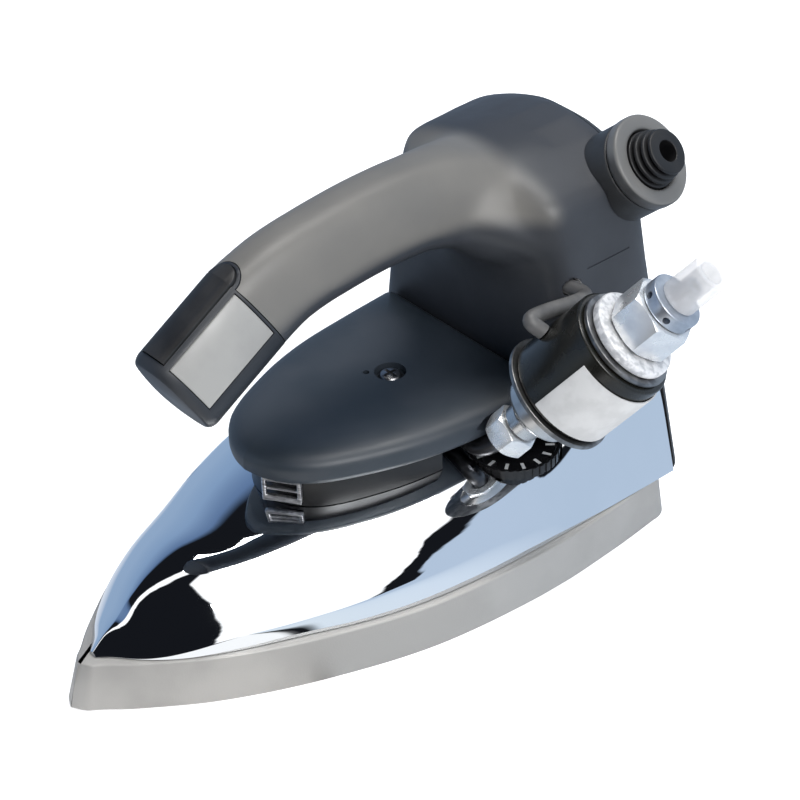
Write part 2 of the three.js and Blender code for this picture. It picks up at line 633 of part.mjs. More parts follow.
// Clip with slots between its bars
function makeClip() {
  const pitch = clip.tall / clip.bars;
  const plate = box(-clip.wide / 2, clip.wide / 2, -clip.thick / 2, clip.thick / 2,
    -clip.tall / 2, clip.tall / 2);
  const slots = [];
  for (let i = 1; i < clip.bars; i += 1) {
    const z = -clip.tall / 2 + i * pitch;
    slots.push(box(-clip.wide / 2 + clip.slot, clip.wide / 2 - clip.slot, -clip.thick, clip.thick,
      z - clip.slot / 2, z + clip.slot / 2));
  }
  return cut(plate, ...slots);
}
const clipGroup = new THREE.Group();
clipGroup.position.set(clip.x, clip.y, clip.z);
clipGroup.rotation.z = THREE.MathUtils.degToRad(clip.turn);
iron.add(clipGroup);
part(clipGroup, 'shield_clip', makeClip(), steel);

// Thumb button's plan: a strip with a round rear end, grown all round by a clearance
function buttonPlan(clear) {
  const shape = new THREE.Shape();
  const half = button.half + clear;
  shape.moveTo(half, button.front + clear);
  shape.lineTo(-half, button.front + clear);
  shape.lineTo(-half, button.rear + button.half);
  shape.absarc(0, button.rear + button.half, half, Math.PI, Math.PI * 2, false);
  return shape.getPoints(bendSteps);
}

// A strip of the nose's plan, raised along the nose's Y
function raisedAcross(plan, y0, y1) {
  return solid(geometryOf(raised(plan, y0, y1)).rotateX(-Math.PI / 2).scale(1, 1, -1));
}

// Handle moulding: the grip and the rear housing in one piece, hollow, open behind and below, with
// a slot where the nose cap's bezel reaches back round the thumb button
const floorTop = tower.floorLow + tower.floorThick;
const noseBottom = -grip.halfHeight - grip.chin;
const buttonFloor = button.low - button.travel - gap;
function makeHandle() {
  const housing = towerOuter.intersect(box(-towerHalf, towerHalf, 0, tower.seamY,
    tower.low, towerTop + over));
  const cavity = towerForm(tower.wall, over, over).intersect(box(-towerHalf, towerHalf,
    tower.frontY, tower.rearY + over, 0, tower.cavityTop));
  const walls = cut(joined([housing, gripForm(0, 0)]), cavity, gripForm(grip.wall, over));
  const within = (body) => body.intersect(housing);
  const floor = within(box(-towerHalf, towerHalf, tower.frontY, tower.floorRearY,
    tower.floorLow, floorTop));
  const bosses = [1, -1].map((side) => within(rodAlongY(side * tower.bossX, tower.bossZ,
    tower.frontY + tower.wall / 2, tower.seamY - gap, tower.bossRadius)));
  const bossHoles = [1, -1].map((side) => rodAlongY(side * tower.bossX, tower.bossZ,
    tower.rearY - tower.screwLong - gap * 2, tower.rearY, tower.screwRadius + gap));
  const floorHoles = [post.handleX, -post.handleX].map((x) =>
    rod(x, post.handleY, tower.low, floorTop + over, post.screwRadius + post.screwHole));
  const bezelSlot = outOfFrame(noseGroup, raisedAcross(buttonPlan(nose.bezel + gap),
    buttonFloor - gap, button.high + over));
  const capScrewHole = outOfFrame(noseGroup, rodAlongY(0, nose.screwZ, noseBottom - over,
    nose.tongueHigh, tower.screwRadius + gap));
  const headRecess = outOfFrame(noseGroup, rodAlongY(0, nose.screwZ, noseBottom - over,
    noseBottom + tower.headTall / 2, tower.headRadius + gap));
  const leadSlot = box(-tower.leadHole, tower.leadHole, tower.leadHoleY - tower.leadHole / 2,
    tower.leadHoleY + tower.leadHole / 2, tower.low, floorTop + over);
  return cut(joined([walls, floor, ...bosses]), hoodGrown, glandBore, leadSlot, bezelSlot, capScrewHole,
    headRecess, along(sleeveCurve(), sleeve.radius + sleeve.hole, tubeSides, sleeve.steps),
    ...bossHoles, ...floorHoles);
}

// Way of the coil's lead sleeve, in the main frame
function sleeveCurve() {
  const angle = THREE.MathUtils.degToRad(sleeve.turnAngle);
  const start = valve.coilRadius + gap;
  const [from, out] = [start, start + sleeve.reach].map((r) =>
    new THREE.Vector3(r * Math.cos(angle), r * Math.sin(angle), sleeve.along)
      .applyMatrix4(valveGroup.matrixWorld));
  const houseX = towerHalf * tableAt(tower.ringShares, (sleeve.houseZ - soleTop) / tower.tall, 1);
  const enter = new THREE.Vector3(houseX + sleeve.radius * 2, sleeve.houseY, sleeve.houseZ);
  const inside = new THREE.Vector3(houseX - tower.wall - sleeve.radius, sleeve.houseY, sleeve.houseZ);
  return new THREE.CatmullRomCurve3([from, out, enter, inside]);
}

part(iron, 'handle', makeHandle(), handlePlastic);
part(iron, 'valve_lead_sleeve', along(sleeveCurve(), sleeve.radius, tubeSides, sleeve.steps),
  greyPlate);
copies(iron, 'handle_screw', [post.handleX, -post.handleX].map((x) =>
  panScrew(x, post.handleY, floorTop, screwEnd(postPlaces[1]))), steel);

// Rear cover: closes the hood and the housing behind
const coverScrews = [1, -1].map((side) => [side * tower.bossX, tower.bossZ]);
part(iron, 'rear_cover', cut(towerOuter.intersect(box(-towerHalf, towerHalf,
  tower.seamY + gap, tower.rearY + over, 0, towerTop + over)), glandBore,
...coverScrews.map(([x, z]) => rodAlongY(x, z, tower.rearY - tower.headTall, tower.rearY + over,
  tower.headRadius + gap, turnSides)),
...coverScrews.map(([x, z]) => rodAlongY(x, z, tower.seamY, tower.rearY, tower.screwRadius + gap))),
blackPlastic);
copies(iron, 'rear_cover_screw', coverScrews.map(([x, z]) => joined([
  rodAlongY(x, z, tower.rearY - tower.screwLong, tower.rearY - tower.headTall / 2, tower.screwRadius),
  rodAlongY(x, z, tower.rearY - tower.headTall + gap, tower.rearY, tower.headRadius, turnSides),
])), steel);

// Terminal block on the housing floor, its screws and the leads to the element and the switch
const blockTop = floorTop + terminal.tall;
part(iron, 'terminal_block', box(-terminal.halfX, terminal.halfX, terminal.frontY, terminal.rearY,
  floorTop, blockTop), whitePlastic);
const terminalXs = Array.from({ length: terminal.screwCount }, (_, i) =>
  terminal.halfX * ((2 * i + 1) / terminal.screwCount - 1));
copies(iron, 'terminal_screw', terminalXs.map((x) =>
  rod(x, (terminal.frontY + terminal.rearY) / 2, blockTop, blockTop + terminal.screwTall,
    terminal.screwRadius)), brass);
copies(iron, 'supply_lead', [1, -1].map((side) => along(new THREE.CatmullRomCurve3([
  new THREE.Vector3(side * element.bendX, element.riseY, element.top + gap),
  new THREE.Vector3(side * element.bendX, element.riseY, element.top + element.radius / 2),
  new THREE.Vector3(side * element.bendX, element.riseY + element.radius, element.top + element.radius * 2),
  new THREE.Vector3(side * terminal.leadX * 2, terminal.leadBackY, tower.low),
  new THREE.Vector3(side * terminal.leadX, terminal.leadBackY, terminal.leadZ - terminal.leadRadius),
  new THREE.Vector3(side * terminal.leadX, terminal.rearY + terminal.leadRadius, terminal.leadZ),
  new THREE.Vector3(side * terminal.leadX, terminal.rearY + gap, terminal.leadZ),
], false, 'centripetal'), terminal.leadRadius, leadSides, terminal.leadSteps)), rubber);
function switchLeadCurve() {
  const end = new THREE.Vector3(0, 0, microswitch.rear - gap).applyMatrix4(noseGroup.matrixWorld);
  const nearEnd = new THREE.Vector3(0, 0, 0).applyMatrix4(noseGroup.matrixWorld);
  const upFrom = grip.stationShares.slice(1, -2).reverse().map(([y, z]) =>
    gripPlace(y, z).setZ(grip.seamZ + z * grip.rise - grip.wall));
  return new THREE.CatmullRomCurve3([
    new THREE.Vector3(0, terminal.frontY - gap - terminal.leadRadius, floorTop + gap + terminal.leadRadius),
    new THREE.Vector3(0, terminal.frontY - terminal.leadRadius * 2, blockTop + terminal.tall),
    ...upFrom,
    nearEnd,
    end,
  ], false, 'centripetal');
}
part(iron, 'switch_leads', along(switchLeadCurve(), terminal.leadRadius, leadSides,
  terminal.leadSteps * 2), rubber);

// The nose's outside, thinned by a wall
function noseForm(wall, back) {
  const ringAt = (z, share) =>
    gripSection((grip.halfWidth - wall) * share, (grip.halfHeight - wall) * share, grip.chin * share)
      .map(([x, y]) => new THREE.Vector3(x, y, z));
  return loft([ringAt(gap - back, 1),
    ...nose.endShares.map(([back, size]) => ringAt(nose.long - nose.endRound * back - wall, size))]);
}

// Thumb button, whose stem stands over the switch's plunger by the button's travel
const plungerTop = microswitch.high + button.travel;
function makeButton() {
  const cap = raisedAcross(buttonPlan(0), button.low, button.high);
  const lifted = joined([
    solid(geometryOf(noseForm(0, 0)).scale(1, button.high / grip.halfHeight, 1)),
    inFrameOf(noseGroup, gripForm(grip.halfHeight - button.high, over)),
  ]);
  const stem = rodAlongY(0, button.at, plungerTop + gap, button.low + gap, button.stemRadius);
  return joined([cap.intersect(lifted), stem]);
}

// Nose cap with the bezel round the button's slot, the plates' recesses, the switch rib and the tongue
function platesBox(side, clear) {
  const inner = button.half + nose.bezel - clear;
  const [x0, x1] = side > 0 ? [inner, grip.halfWidth * 2] : [-grip.halfWidth * 2, -inner];
  return box(x0, x1, nose.plateLow - clear, nose.plateHigh + clear,
    nose.plateRear - clear, nose.plateFront + clear);
}
const switchScrewZs = [microswitch.rear + microswitch.screwInset,
  microswitch.front - microswitch.screwInset];
function makeNoseCap() {
  const outer = noseForm(0, 0);
  const core = noseForm(nose.plateThick + gap, over);
  const recesses = [1, -1].map((side) => cut(platesBox(side, gap), core));
  const slot = raisedAcross(buttonPlan(gap), buttonFloor, button.high + over);
  const bezel = cut(inFrameOf(noseGroup, gripForm(0, over)).intersect(
    raisedAcross(buttonPlan(nose.bezel), buttonFloor, button.high + over)),
  inFrameOf(noseGroup, gripForm(grip.wall, over)));
  const rib = box(-microswitch.ribBack, -microswitch.half - gap, microswitch.ribLow, microswitch.ribHigh,
    microswitch.rear, microswitch.front).intersect(noseForm(nose.wall / 2, 0));
  const tongue = joined([
    box(-nose.tongueHalf, nose.tongueHalf, nose.tongueLow, nose.tongueHigh, -nose.tongueBack,
      nose.tongueFront),
    box(-nose.tongueHalf, nose.tongueHalf, noseBottom + nose.wall / 2, nose.tongueHigh, gap,
      nose.tongueFront),
  ]);
  const hollow = noseForm(nose.wall + gap * 2, over);
  return cut(joined([cut(outer, hollow), bezel, rib, tongue]), slot, ...recesses,
    rodAlongY(0, nose.screwZ, noseBottom, nose.tongueHigh + over, tower.screwRadius + gap),
    ...switchScrewZs.map((z) => rodAlongX(0, z, -microswitch.half * 2, 0, microswitch.screwRadius + gap)));
}
part(noseGroup, 'nose_cap', makeNoseCap(), blackPlastic);
[['panel_right', 1], ['panel_left', -1]].forEach(([name, side]) =>
  part(noseGroup, name, cut(noseForm(0, 0).intersect(platesBox(side, 0)), noseForm(nose.plateThick, over)),
    greyPlate));
part(noseGroup, 'steam_button', makeButton(), blackPlastic);
part(noseGroup, 'microswitch', cut(box(-microswitch.half, microswitch.half, microswitch.low,
  microswitch.high, microswitch.rear, microswitch.front),
rodAlongY(0, button.at, microswitch.high - microswitch.boreDeep, microswitch.high + over,
  microswitch.plungerRadius + microswitch.bore),
...switchScrewZs.map((z) => rodAlongX(0, z, -microswitch.half - over, microswitch.half + over,
  microswitch.screwRadius + gap))), bakelite);
part(noseGroup, 'switch_plunger', rodAlongY(0, button.at, plungerTop - microswitch.plungerLong, plungerTop,
  microswitch.plungerRadius), whitePlastic);
copies(noseGroup, 'switch_screw', switchScrewZs.map((z) => joined([
  rodAlongX(0, z, -microswitch.half * 2 + gap, microswitch.half + gap, microswitch.screwRadius),
  rodAlongX(0, z, microswitch.half + gap / 2, microswitch.half + microswitch.screwRadius + gap,
    microswitch.headRadius),
])), steel);
part(noseGroup, 'nose_screw', joined([
  rodAlongY(0, nose.screwZ, noseBottom, nose.tongueHigh, tower.screwRadius),
  rodAlongY(0, nose.screwZ, noseBottom - tower.headTall / 2, noseBottom + tower.headTall / 2 - gap,
    tower.headRadius, turnSides),
]), steel);

// Cord entry: collar cut to the corner it sits on, ring nut and ribbed bushing
part(glandGroup, 'gland_collar', cut(ring(gland.collarRadius, gland.bore, -gland.collarLong, 0, roundSides),
  inFrameOf(glandGroup, towerGrown)), handlePlastic);
part(glandGroup, 'gland_nut', turned([
  [gland.nutBore, gap], [gland.nutRadius - gland.nutRound, gap], [gland.nutRadius, gap + gland.nutRound],
  [gland.nutRadius, gland.nutThick - gland.nutRound], [gland.nutRadius - gland.nutRound, gland.nutThick],
  [gland.nutBore, gland.nutThick],
], roundSides), handlePlastic);
function bushingProfile() {
  const profile = [[gland.cordHole, -gland.bushTail], [gland.bore - gap, -gland.bushTail],
    [gland.bore - gap, gap], [gland.bushRadius, gap], [gland.bushRadius, gland.nutThick]];
  const pitch = (gland.bushLong - gland.nutThick) / gland.ribs / 2;
  for (let i = 0; i < gland.ribs * 2; i += 1) {
    const share = (i + 1) / (gland.ribs * 2);
    const radius = gland.bushRadius + (gland.bushEnd - gland.bushRadius) * share;
    const groove = i % 2 === 0 ? gland.ribDeep : 0;
    const z = gland.nutThick + i * pitch;
    profile.push([radius - groove, z + pitch * gland.ribSlopeShare], [radius - groove, z + pitch]);
  }
  return [...profile, [gland.cordHole, gland.bushLong]];
}
part(glandGroup, 'cord_bushing', turned(bushingProfile()), rubber);

// Thermostat, shaft and dial over the dial's base
const dialLow = dial.top - dial.tall;
const thermostatTop = soleTop + dial.bodyTall;
part(iron, 'dial_base', cut(
  rod(dial.x, dial.y, thermostatTop + gap, dialLow - gap, dial.baseRadius, turnSides),
  rod(dial.x, dial.y, thermostatTop, dialLow, dial.shaft + gap)), blackPlastic);
const shaftHead = dialLow + dial.tall * dial.shaftShare;
part(iron, 'thermostat_body', cut(rod(dial.x, dial.y, soleTop, thermostatTop, dial.bodyRadius, turnSides),
  rod(dial.x, dial.y, thermostatTop - dial.bodyTall / 2, thermostatTop + over, dial.shaft + gap)), steel);
part(iron, 'thermostat_shaft', rod(dial.x, dial.y, thermostatTop - dial.bodyTall / 2 + gap, shaftHead - gap,
  dial.shaft), steel);
function makeDial() {
  const rim = [];
  for (let i = 0; i < dial.grips; i += 1) {
    const angle = Math.PI * 2 * i / dial.grips;
    rim.push(rod(dial.x + dial.radius * Math.cos(angle), dial.y + dial.radius * Math.sin(angle),
      dialLow - over, dial.top - dial.rimHigh * 2, dial.gripDeep, hexSides));
  }
  const body = rod(dial.x, dial.y, dialLow, dial.top, dial.radius, roundSides);
  const dish = rod(dial.x, dial.y, dial.top - dial.rimHigh, dial.top + over,
    dial.radius - dial.rimWide, roundSides);
  const socket = rod(dial.x, dial.y, dialLow - over, shaftHead, dial.shaft + gap);
  return cut(body, dish, socket, ...rim);
}
part(iron, 'thermostat_dial', makeDial(), blackPlastic);

// Water valve, from the outlet nut to the hose end
const stackTop = (top) => top - gap;
part(valveGroup, 'outlet_nut', cut(rod(0, 0, valve.nutLow, valve.nutHigh, valve.nutRadius, hexSides),
  rod(0, 0, valve.nutLow - over, valve.nutHigh + over, pipe.radius + gap)), chrome);
part(valveGroup, 'valve_body', turned([
  [valve.seat, valve.nutHigh + gap], [valve.bodyNeck, valve.nutHigh + gap],
  [valve.bodyNeck, valve.bodyNeckTop], [valve.bodyWide, valve.bodyNeckTop + valve.bodyRise],
  [valve.bodyWide, -gap], [valve.seat, -gap],
]), steel);
const tubeHole = valve.tubeRadius + gap;
part(valveGroup, 'coil_flange', ring(valve.flangeRadius, tubeHole, 0, valve.flangeThick, roundSides),
  steel);
part(valveGroup, 'coil_body', ring(valve.coilRadius, tubeHole, valve.flangeThick + gap,
  stackTop(valve.coilTop), roundSides), coilResin);
part(valveGroup, 'coil_rim', ring(valve.rimRadius, tubeHole, valve.coilTop, stackTop(valve.rimTop),
  roundSides), steel);
part(valveGroup, 'coil_cap', ring(valve.capRadius, tubeHole, valve.rimTop, stackTop(valve.capTop),
  roundSides), whitePlastic);
part(valveGroup, 'armature_tube', ring(valve.tubeRadius, valve.tubeRadius - valve.tubeWall, 0,
  stackTop(valve.tubeTop)), steel);
part(valveGroup, 'armature', ring(valve.armatureRadius, valve.seat, 0, valve.armatureLong), steel);
part(valveGroup, 'valve_nut', cut(rod(0, 0, valve.tubeTop, valve.endNutTop, valve.endNutRadius, hexSides),
  rod(0, 0, valve.tubeTop - over, valve.endNutTop + over, valve.waterHole)), chrome);
function makeFitting() {
  const body = turned([
    [valve.waterHole, valve.endNutTop + gap], [valve.fittingRadius, valve.endNutTop + gap],
    [valve.fittingRadius, valve.fittingTop], [valve.barbRadius, valve.fittingTop],
    [valve.barbRadius, valve.barbTop], [valve.waterHole, valve.barbTop],
  ]);
  const middle = (valve.endNutTop + valve.fittingTop) / 2;
  const holes = [];
  for (let i = 0; i < valve.screwHoles * 2; i += 1) {
    const angle = Math.PI * i / valve.screwHoles;
    const drill = new THREE.CylinderGeometry(valve.screwHole, valve.screwHole, valve.barbRadius, rodSides);
    drill.rotateZ(Math.PI / 2).translate(valve.fittingRadius, 0, middle).rotateZ(angle);
    holes.push(solid(drill));
  }
  return cut(body, ...holes);
}
part(valveGroup, 'inlet_fitting', makeFitting(), steel);
part(valveGroup, 'hose_stub', ring(valve.hoseRadius, valve.hoseRadius - valve.hoseWall,
  valve.fittingTop + gap, valve.hoseTop), hoseClear);

// Blank label wrapped round the side of the coil that faces out
function makeLabel() {
  const shape = new THREE.Shape();
  const from = THREE.MathUtils.degToRad(valve.labelFrom);
  const to = from + THREE.MathUtils.degToRad(valve.labelSweep);
  const low = valve.coilRadius + gap;
  shape.absarc(0, 0, low + valve.labelThick, from, to, false);
  shape.absarc(0, 0, low, to, from, true);
  return raised(shape.getPoints(valve.labelSteps), valve.labelLow, valve.labelHigh);
}
part(valveGroup, 'coil_label', makeLabel(), whitePlastic);

// Water pipe: bent tube with an open bore
function pipeCurve() {
  const at = (z) => new THREE.Vector3(0, 0, z).applyMatrix4(valveGroup.matrixWorld);
  const top = at(valve.nutHigh - gap);
  const leave = at(valve.nutLow - gap);
  const run = new THREE.Vector3(leave.x - pipe.turn, pipe.downY, pipe.runZ);
  return new THREE.CatmullRomCurve3([
    top, leave, run,
    new THREE.Vector3(pipe.downX + pipe.turn, pipe.downY, pipe.runZ),
    new THREE.Vector3(pipe.downX, pipe.downY, pipe.runZ - pipe.turn),
    new THREE.Vector3(pipe.downX, pipe.downY, soleTop),
  ], false, 'centripetal');
}
part(iron, 'water_pipe', cut(along(pipeCurve(), pipe.radius, tubeSides, pipe.steps),
  along(pipeCurve(), pipe.radius - pipe.wall, tubeSides, pipe.steps)), steel);

export default iron;
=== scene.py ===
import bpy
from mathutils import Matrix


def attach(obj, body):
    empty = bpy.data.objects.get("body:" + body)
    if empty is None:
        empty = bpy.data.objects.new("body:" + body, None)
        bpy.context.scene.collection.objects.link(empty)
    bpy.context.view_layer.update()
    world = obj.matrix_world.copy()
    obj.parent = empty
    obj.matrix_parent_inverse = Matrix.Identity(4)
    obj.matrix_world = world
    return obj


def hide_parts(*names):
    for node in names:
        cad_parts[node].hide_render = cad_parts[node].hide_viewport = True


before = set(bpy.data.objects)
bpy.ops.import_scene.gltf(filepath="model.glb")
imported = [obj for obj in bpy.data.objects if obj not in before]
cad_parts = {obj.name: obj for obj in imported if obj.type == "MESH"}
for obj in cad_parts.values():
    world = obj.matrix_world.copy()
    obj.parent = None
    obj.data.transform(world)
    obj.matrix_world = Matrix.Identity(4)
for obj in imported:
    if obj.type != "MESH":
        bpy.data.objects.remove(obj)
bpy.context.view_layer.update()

from math import atan2, cos, pi, radians, sin

import bmesh
import bpy
import numpy as np
from mathutils import Matrix, Vector

# Studio: a pale floor and soft lights, with the camera at the photograph's angle. In a mirror the
# room is white on the near side, blue grey on the far side, and black in front and overhead.
target = Vector((0.0166, 0.0198, 0.0661))
camera_back = Vector((0.6275, -0.5265, 0.5736)).normalized()
camera_distance = 0.974
camera_roll = radians(-1.9)
camera_lens = 138.4


def given(taker, takes):
    """Gives a node's inputs their values, or links them to other nodes' outputs."""
    for key, value in dict(takes).items():
        if isinstance(value, bpy.types.NodeSocket):
            taker.id_data.links.new(value, taker.inputs[key])
        else:
            taker.inputs[key].default_value = value
    return taker


def node(tree, kind, takes=(), **settings):
    made = tree.nodes.new(kind)
    for key, value in settings.items():
        setattr(made, key, value)
    return given(made, takes)


def sums(tree, operation, *values):
    return node(tree, "ShaderNodeMath", dict(enumerate(values)), operation=operation).outputs[0]


def spread(tree, value, low, high, least=0.0, most=1.0, kind="LINEAR"):
    """Where a value lies between two limits."""
    takes = {"Value": value, "From Min": low, "From Max": high, "To Min": least, "To Max": most}
    return node(tree, "ShaderNodeMapRange", takes, interpolation_type=kind).outputs["Result"]


def tones(tree, value, low, high, stops):
    """Tones along a value, each with its own place between two limits."""
    made = node(tree, "ShaderNodeValToRGB", {0: spread(tree, value, low, high)})
    elements = made.color_ramp.elements
    while len(elements) < len(stops):
        elements.new(1)
    for element, (place, tone) in zip(elements, stops):
        element.position, element.color = (place - low) / (high - low), (*tone, 1)
    return made.outputs["Color"]


def mixed(tree, mask, low, high):
    takes = {"Factor": mask, "A": low, "B": high}
    return node(tree, "ShaderNodeMix", takes, data_type="RGBA").outputs["Result"]


def cloud(tree, place, size, detail):
    return node(tree, "ShaderNodeTexNoise", {"Vector": place, "Scale": size, "Detail": detail}).outputs["Fac"]


def make_camera():
    level = Vector((0, 0, 1)).cross(camera_back).normalized()
    upright = camera_back.cross(level)
    across = level * cos(camera_roll) + upright * sin(camera_roll)
    up = upright * cos(camera_roll) - level * sin(camera_roll)
    data = bpy.data.cameras.new("camera")
    data.lens = camera_lens
    data.sensor_width = 36
    data.clip_start = 0.05
    camera = bpy.data.objects.new("camera", data)
    place = target + camera_back * camera_distance
    camera.matrix_world = Matrix.Translation(place) @ Matrix((across, up, camera_back)).transposed().to_4x4()
    bpy.context.scene.collection.objects.link(camera)
    bpy.context.scene.camera = camera


def soft_light(name, place, size, power, tint):
    data = bpy.data.lights.new(name, "AREA")
    data.shape = "RECTANGLE"
    data.size, data.size_y = size
    data.energy = power
    data.color = tint
    light = bpy.data.objects.new(name, data)
    light.location = place
    light.rotation_euler = (target - Vector(place)).to_track_quat("-Z", "Y").to_euler()
    bpy.context.scene.collection.objects.link(light)


def make_floor():
    mesh = bpy.data.meshes.new("floor")
    corners = [(x * floor_half, y * floor_half, 0) for x, y in ((-1, -1), (1, -1), (1, 1), (-1, 1))]
    mesh.from_pydata(corners, [], [(0, 1, 2, 3)])
    table = bpy.data.objects.new("floor", mesh)
    bpy.context.scene.collection.objects.link(table)
    material = bpy.data.materials.new("floor")
    material.use_nodes = True
    tree = material.node_tree
    tree.nodes.clear()
    seen = node(tree, "ShaderNodeBsdfDiffuse", {"Color": (0.93, 0.93, 0.93, 1)})
    glow = node(tree, "ShaderNodeEmission", {"Color": (1, 1, 1, 1), "Strength": 0.42})
    white = node(tree, "ShaderNodeAddShader", {0: seen.outputs[0], 1: glow.outputs[0]})
    where = node(tree, "ShaderNodeTexCoord")
    split = node(tree, "ShaderNodeSeparateXYZ", {0: where.outputs["Object"]})
    across, along = split.outputs["X"], split.outputs["Y"]
    stripes = tones(tree, sums(tree, "MULTIPLY_ADD", across, 0.3, along), -0.25, 0.25, floor_stripes)
    mirror = mixed(tree, spread(tree, across, -0.12, 0.02), (*far_tone, 1), stripes)
    mirrored = node(tree, "ShaderNodeEmission", {"Color": mirror})
    path = node(tree, "ShaderNodeLightPath")
    choice = node(tree, "ShaderNodeMixShader", {0: path.outputs["Is Glossy Ray"], 1: white.outputs[0],
                                                2: mirrored.outputs[0]})
    node(tree, "ShaderNodeOutputMaterial", {"Surface": choice.outputs[0]})
    mesh.materials.append(material)


def make_surroundings():
    """The room as a mirror sees it, by direction: each edge between two tones is a little wavy."""
    world = bpy.data.worlds.new("studio")
    bpy.context.scene.world = world
    world.use_nodes = True
    tree = world.node_tree
    way = node(tree, "ShaderNodeTexCoord").outputs["Generated"]
    split = node(tree, "ShaderNodeSeparateXYZ", {0: way})
    shift = sums(tree, "SUBTRACT", cloud(tree, way, 2.6, 3), 0.5)

    def by(x, y, z, waves, stops):
        total = sums(tree, "MULTIPLY", shift, waves)
        for name, share in (("X", x), ("Y", y), ("Z", z)):
            total = sums(tree, "MULTIPLY_ADD", split.outputs[name], share, total)
        return tones(tree, total, -1, 1, stops)

    none, full = (0, 0, 0), (1, 1, 1)
    far = by(0, 0, 1, 0.06, [(0, far_tone), (0.35, (0.24, 0.36, 0.55)), (0.6, (0.12, 0.2, 0.36)),
                             (0.68, dark_tone)])
    near = by(0.3, 1, -0.25, 0.3, [(0.2, white_tone), (0.215, dark_tone), (0.385, dark_tone),
                                   (0.41, table_tone)])
    front = by(0.3, 1, 0, 0.12, [(-0.15, dark_tone), (-0.135, white_tone)])
    is_front = by(0.3, 1, 0, 0.12, [(-0.12, full), (-0.11, none)])
    is_near = by(1, 0, 0, 0.14, [(-0.2, none), (-0.185, full)])
    is_side = by(1, 0, 0, 0.14, [(-0.1, none), (-0.085, full)])
    is_leaf = by(0.8, 0.5, 0, 0.02, [(-0.01, full), (-0.004, none)])
    side = mixed(tree, is_leaf, mixed(tree, is_front, near, front), (*dark_tone, 1))
    room = mixed(tree, is_near, far, mixed(tree, is_side, (*white_tone, 1), side))
    tree.links.new(room, tree.nodes["Background"].inputs["Color"])


far_tone, table_tone = (0.3, 0.42, 0.6), (0.5, 0.61, 0.76)
dark_tone, white_tone, pale_tone = (0.008, 0.009, 0.012), (1.25, 1.25, 1.25), (1.1, 1.1, 1.1)
floor_half = 4.0
floor_stripes = [(-0.15, dark_tone), (-0.14, pale_tone), (-0.03, pale_tone), (-0.027, dark_tone),
                 (-0.023, dark_tone), (-0.019, (0.8, 0.88, 0.96)), (0.05, (0.7, 0.8, 0.92)), (0.11, table_tone)]
bpy.context.scene.view_settings.view_transform = "Standard"
make_camera()
make_floor()
make_surroundings()
soft_light("key", (1.45, -0.3, 1.35), (0.9, 0.9), 24, (1, 1, 1))
soft_light("top", (-0.24, 0.41, 2.0), (0.8, 0.8), 24, (1, 0.99, 0.97))


# Soleplate: a thick aluminium casting, milled flat below, with a satin side that leans in a little
# and steam holes through its face. The steam chamber and the element's groove are cut in its top.
gap = 0.0003
over = 0.003
sole_length, sole_half, sole_thick, sole_corner = 0.208, 0.0595, 0.0156, 0.009
sole_draft, sole_sweep, sole_edge = 0.0015, 0.0027, 0.0008
sole_shares = [(0, 0), (0.012, 0.075), (0.03, 0.125), (0.08, 0.27), (0.18, 0.506), (0.32, 0.734),
               (0.5, 0.929), (0.7, 1), (0.85, 0.978), (0.962, 0.934)]


def boat(tip_y, heel_y, half_width, corner, shares, steps=90):
    """Plan outline from the tip round the near side, the heel and the far side."""
    knots = np.array([(x * half_width, tip_y + y * (heel_y - tip_y)) for y, x in shares])
    last = len(knots) - 1
    side = []
    for k in range(steps + 1):
        place = last * k / steps
        i = min(int(place), last - 1)
        t = place - i
        before, a, b, after = (knots[min(max(j, 0), last)] for j in (i - 1, i, i + 1, i + 2))
        lead, trail = (b - before) / 2, (after - a) / 2
        side.append((2 * a - 2 * b + lead + trail) * t ** 3
                    + (3 * b - 3 * a - 2 * lead - trail) * t ** 2 + lead * t + a)
    start, bend = side[-1], np.array((side[-1][0], heel_y))
    end = bend - (corner, 0)
    for t in np.linspace(0, 1, 13)[1:]:
        side.append(start * (1 - t) ** 2 + bend * 2 * t * (1 - t) + end * t ** 2)
    near = np.minimum(np.array(side), (half_width, heel_y))
    far = near[1:][::-1] * (-1, 1)
    return np.concatenate((near, far))


def inset(outline, distance):
    way = np.roll(outline, -1, 0) - np.roll(outline, 1, 0)
    way /= np.linalg.norm(way, axis=1)[:, None]
    return outline + distance * np.stack((-way[:, 1], way[:, 0]), 1)


def level(outline, z):
    return np.column_stack((outline, np.full(len(outline), z)))


def prism(outline, low, high):
    return skin([level(outline, z) for z in (low, high)])


def mended(mesh):
    """Joins a mesh's doubled points and turns its faces outward."""
    shape = bmesh.new()
    shape.from_mesh(mesh)
    bmesh.ops.remove_doubles(shape, verts=shape.verts, dist=1e-6)
    bmesh.ops.recalc_face_normals(shape, faces=shape.faces)
    shape.to_mesh(mesh)
    shape.free()
    return mesh


def mesh_of(points, faces):
    mesh = bpy.data.meshes.new("form")
    mesh.from_pydata([tuple(p) for p in points], [], faces)
    return mended(mesh)


def skin(rings):
    """Closed mesh through rings of equal point count."""
    count = len(rings[0])
    faces = []
    for r in range(len(rings) - 1):
        for i in range(count):
            j = (i + 1) % count
            faces.append((r * count + i, r * count + j, (r + 1) * count + j, (r + 1) * count + i))
    faces.append(tuple(range(count))[::-1])
    faces.append(tuple(range((len(rings) - 1) * count, len(rings) * count)))
    return mesh_of(np.concatenate(rings), faces)


def thing(name, mesh):
    mesh.name = name
    found = bpy.data.objects.new(name, mesh)
    bpy.context.scene.collection.objects.link(found)
    return found


def settled(piece):
    """Turns a piece with modifiers into a plain mesh."""
    graph = bpy.context.evaluated_depsgraph_get()
    mesh = bpy.data.meshes.new_from_object(piece.evaluated_get(graph))
    piece.modifiers.clear()
    piece.data = mesh
    return piece


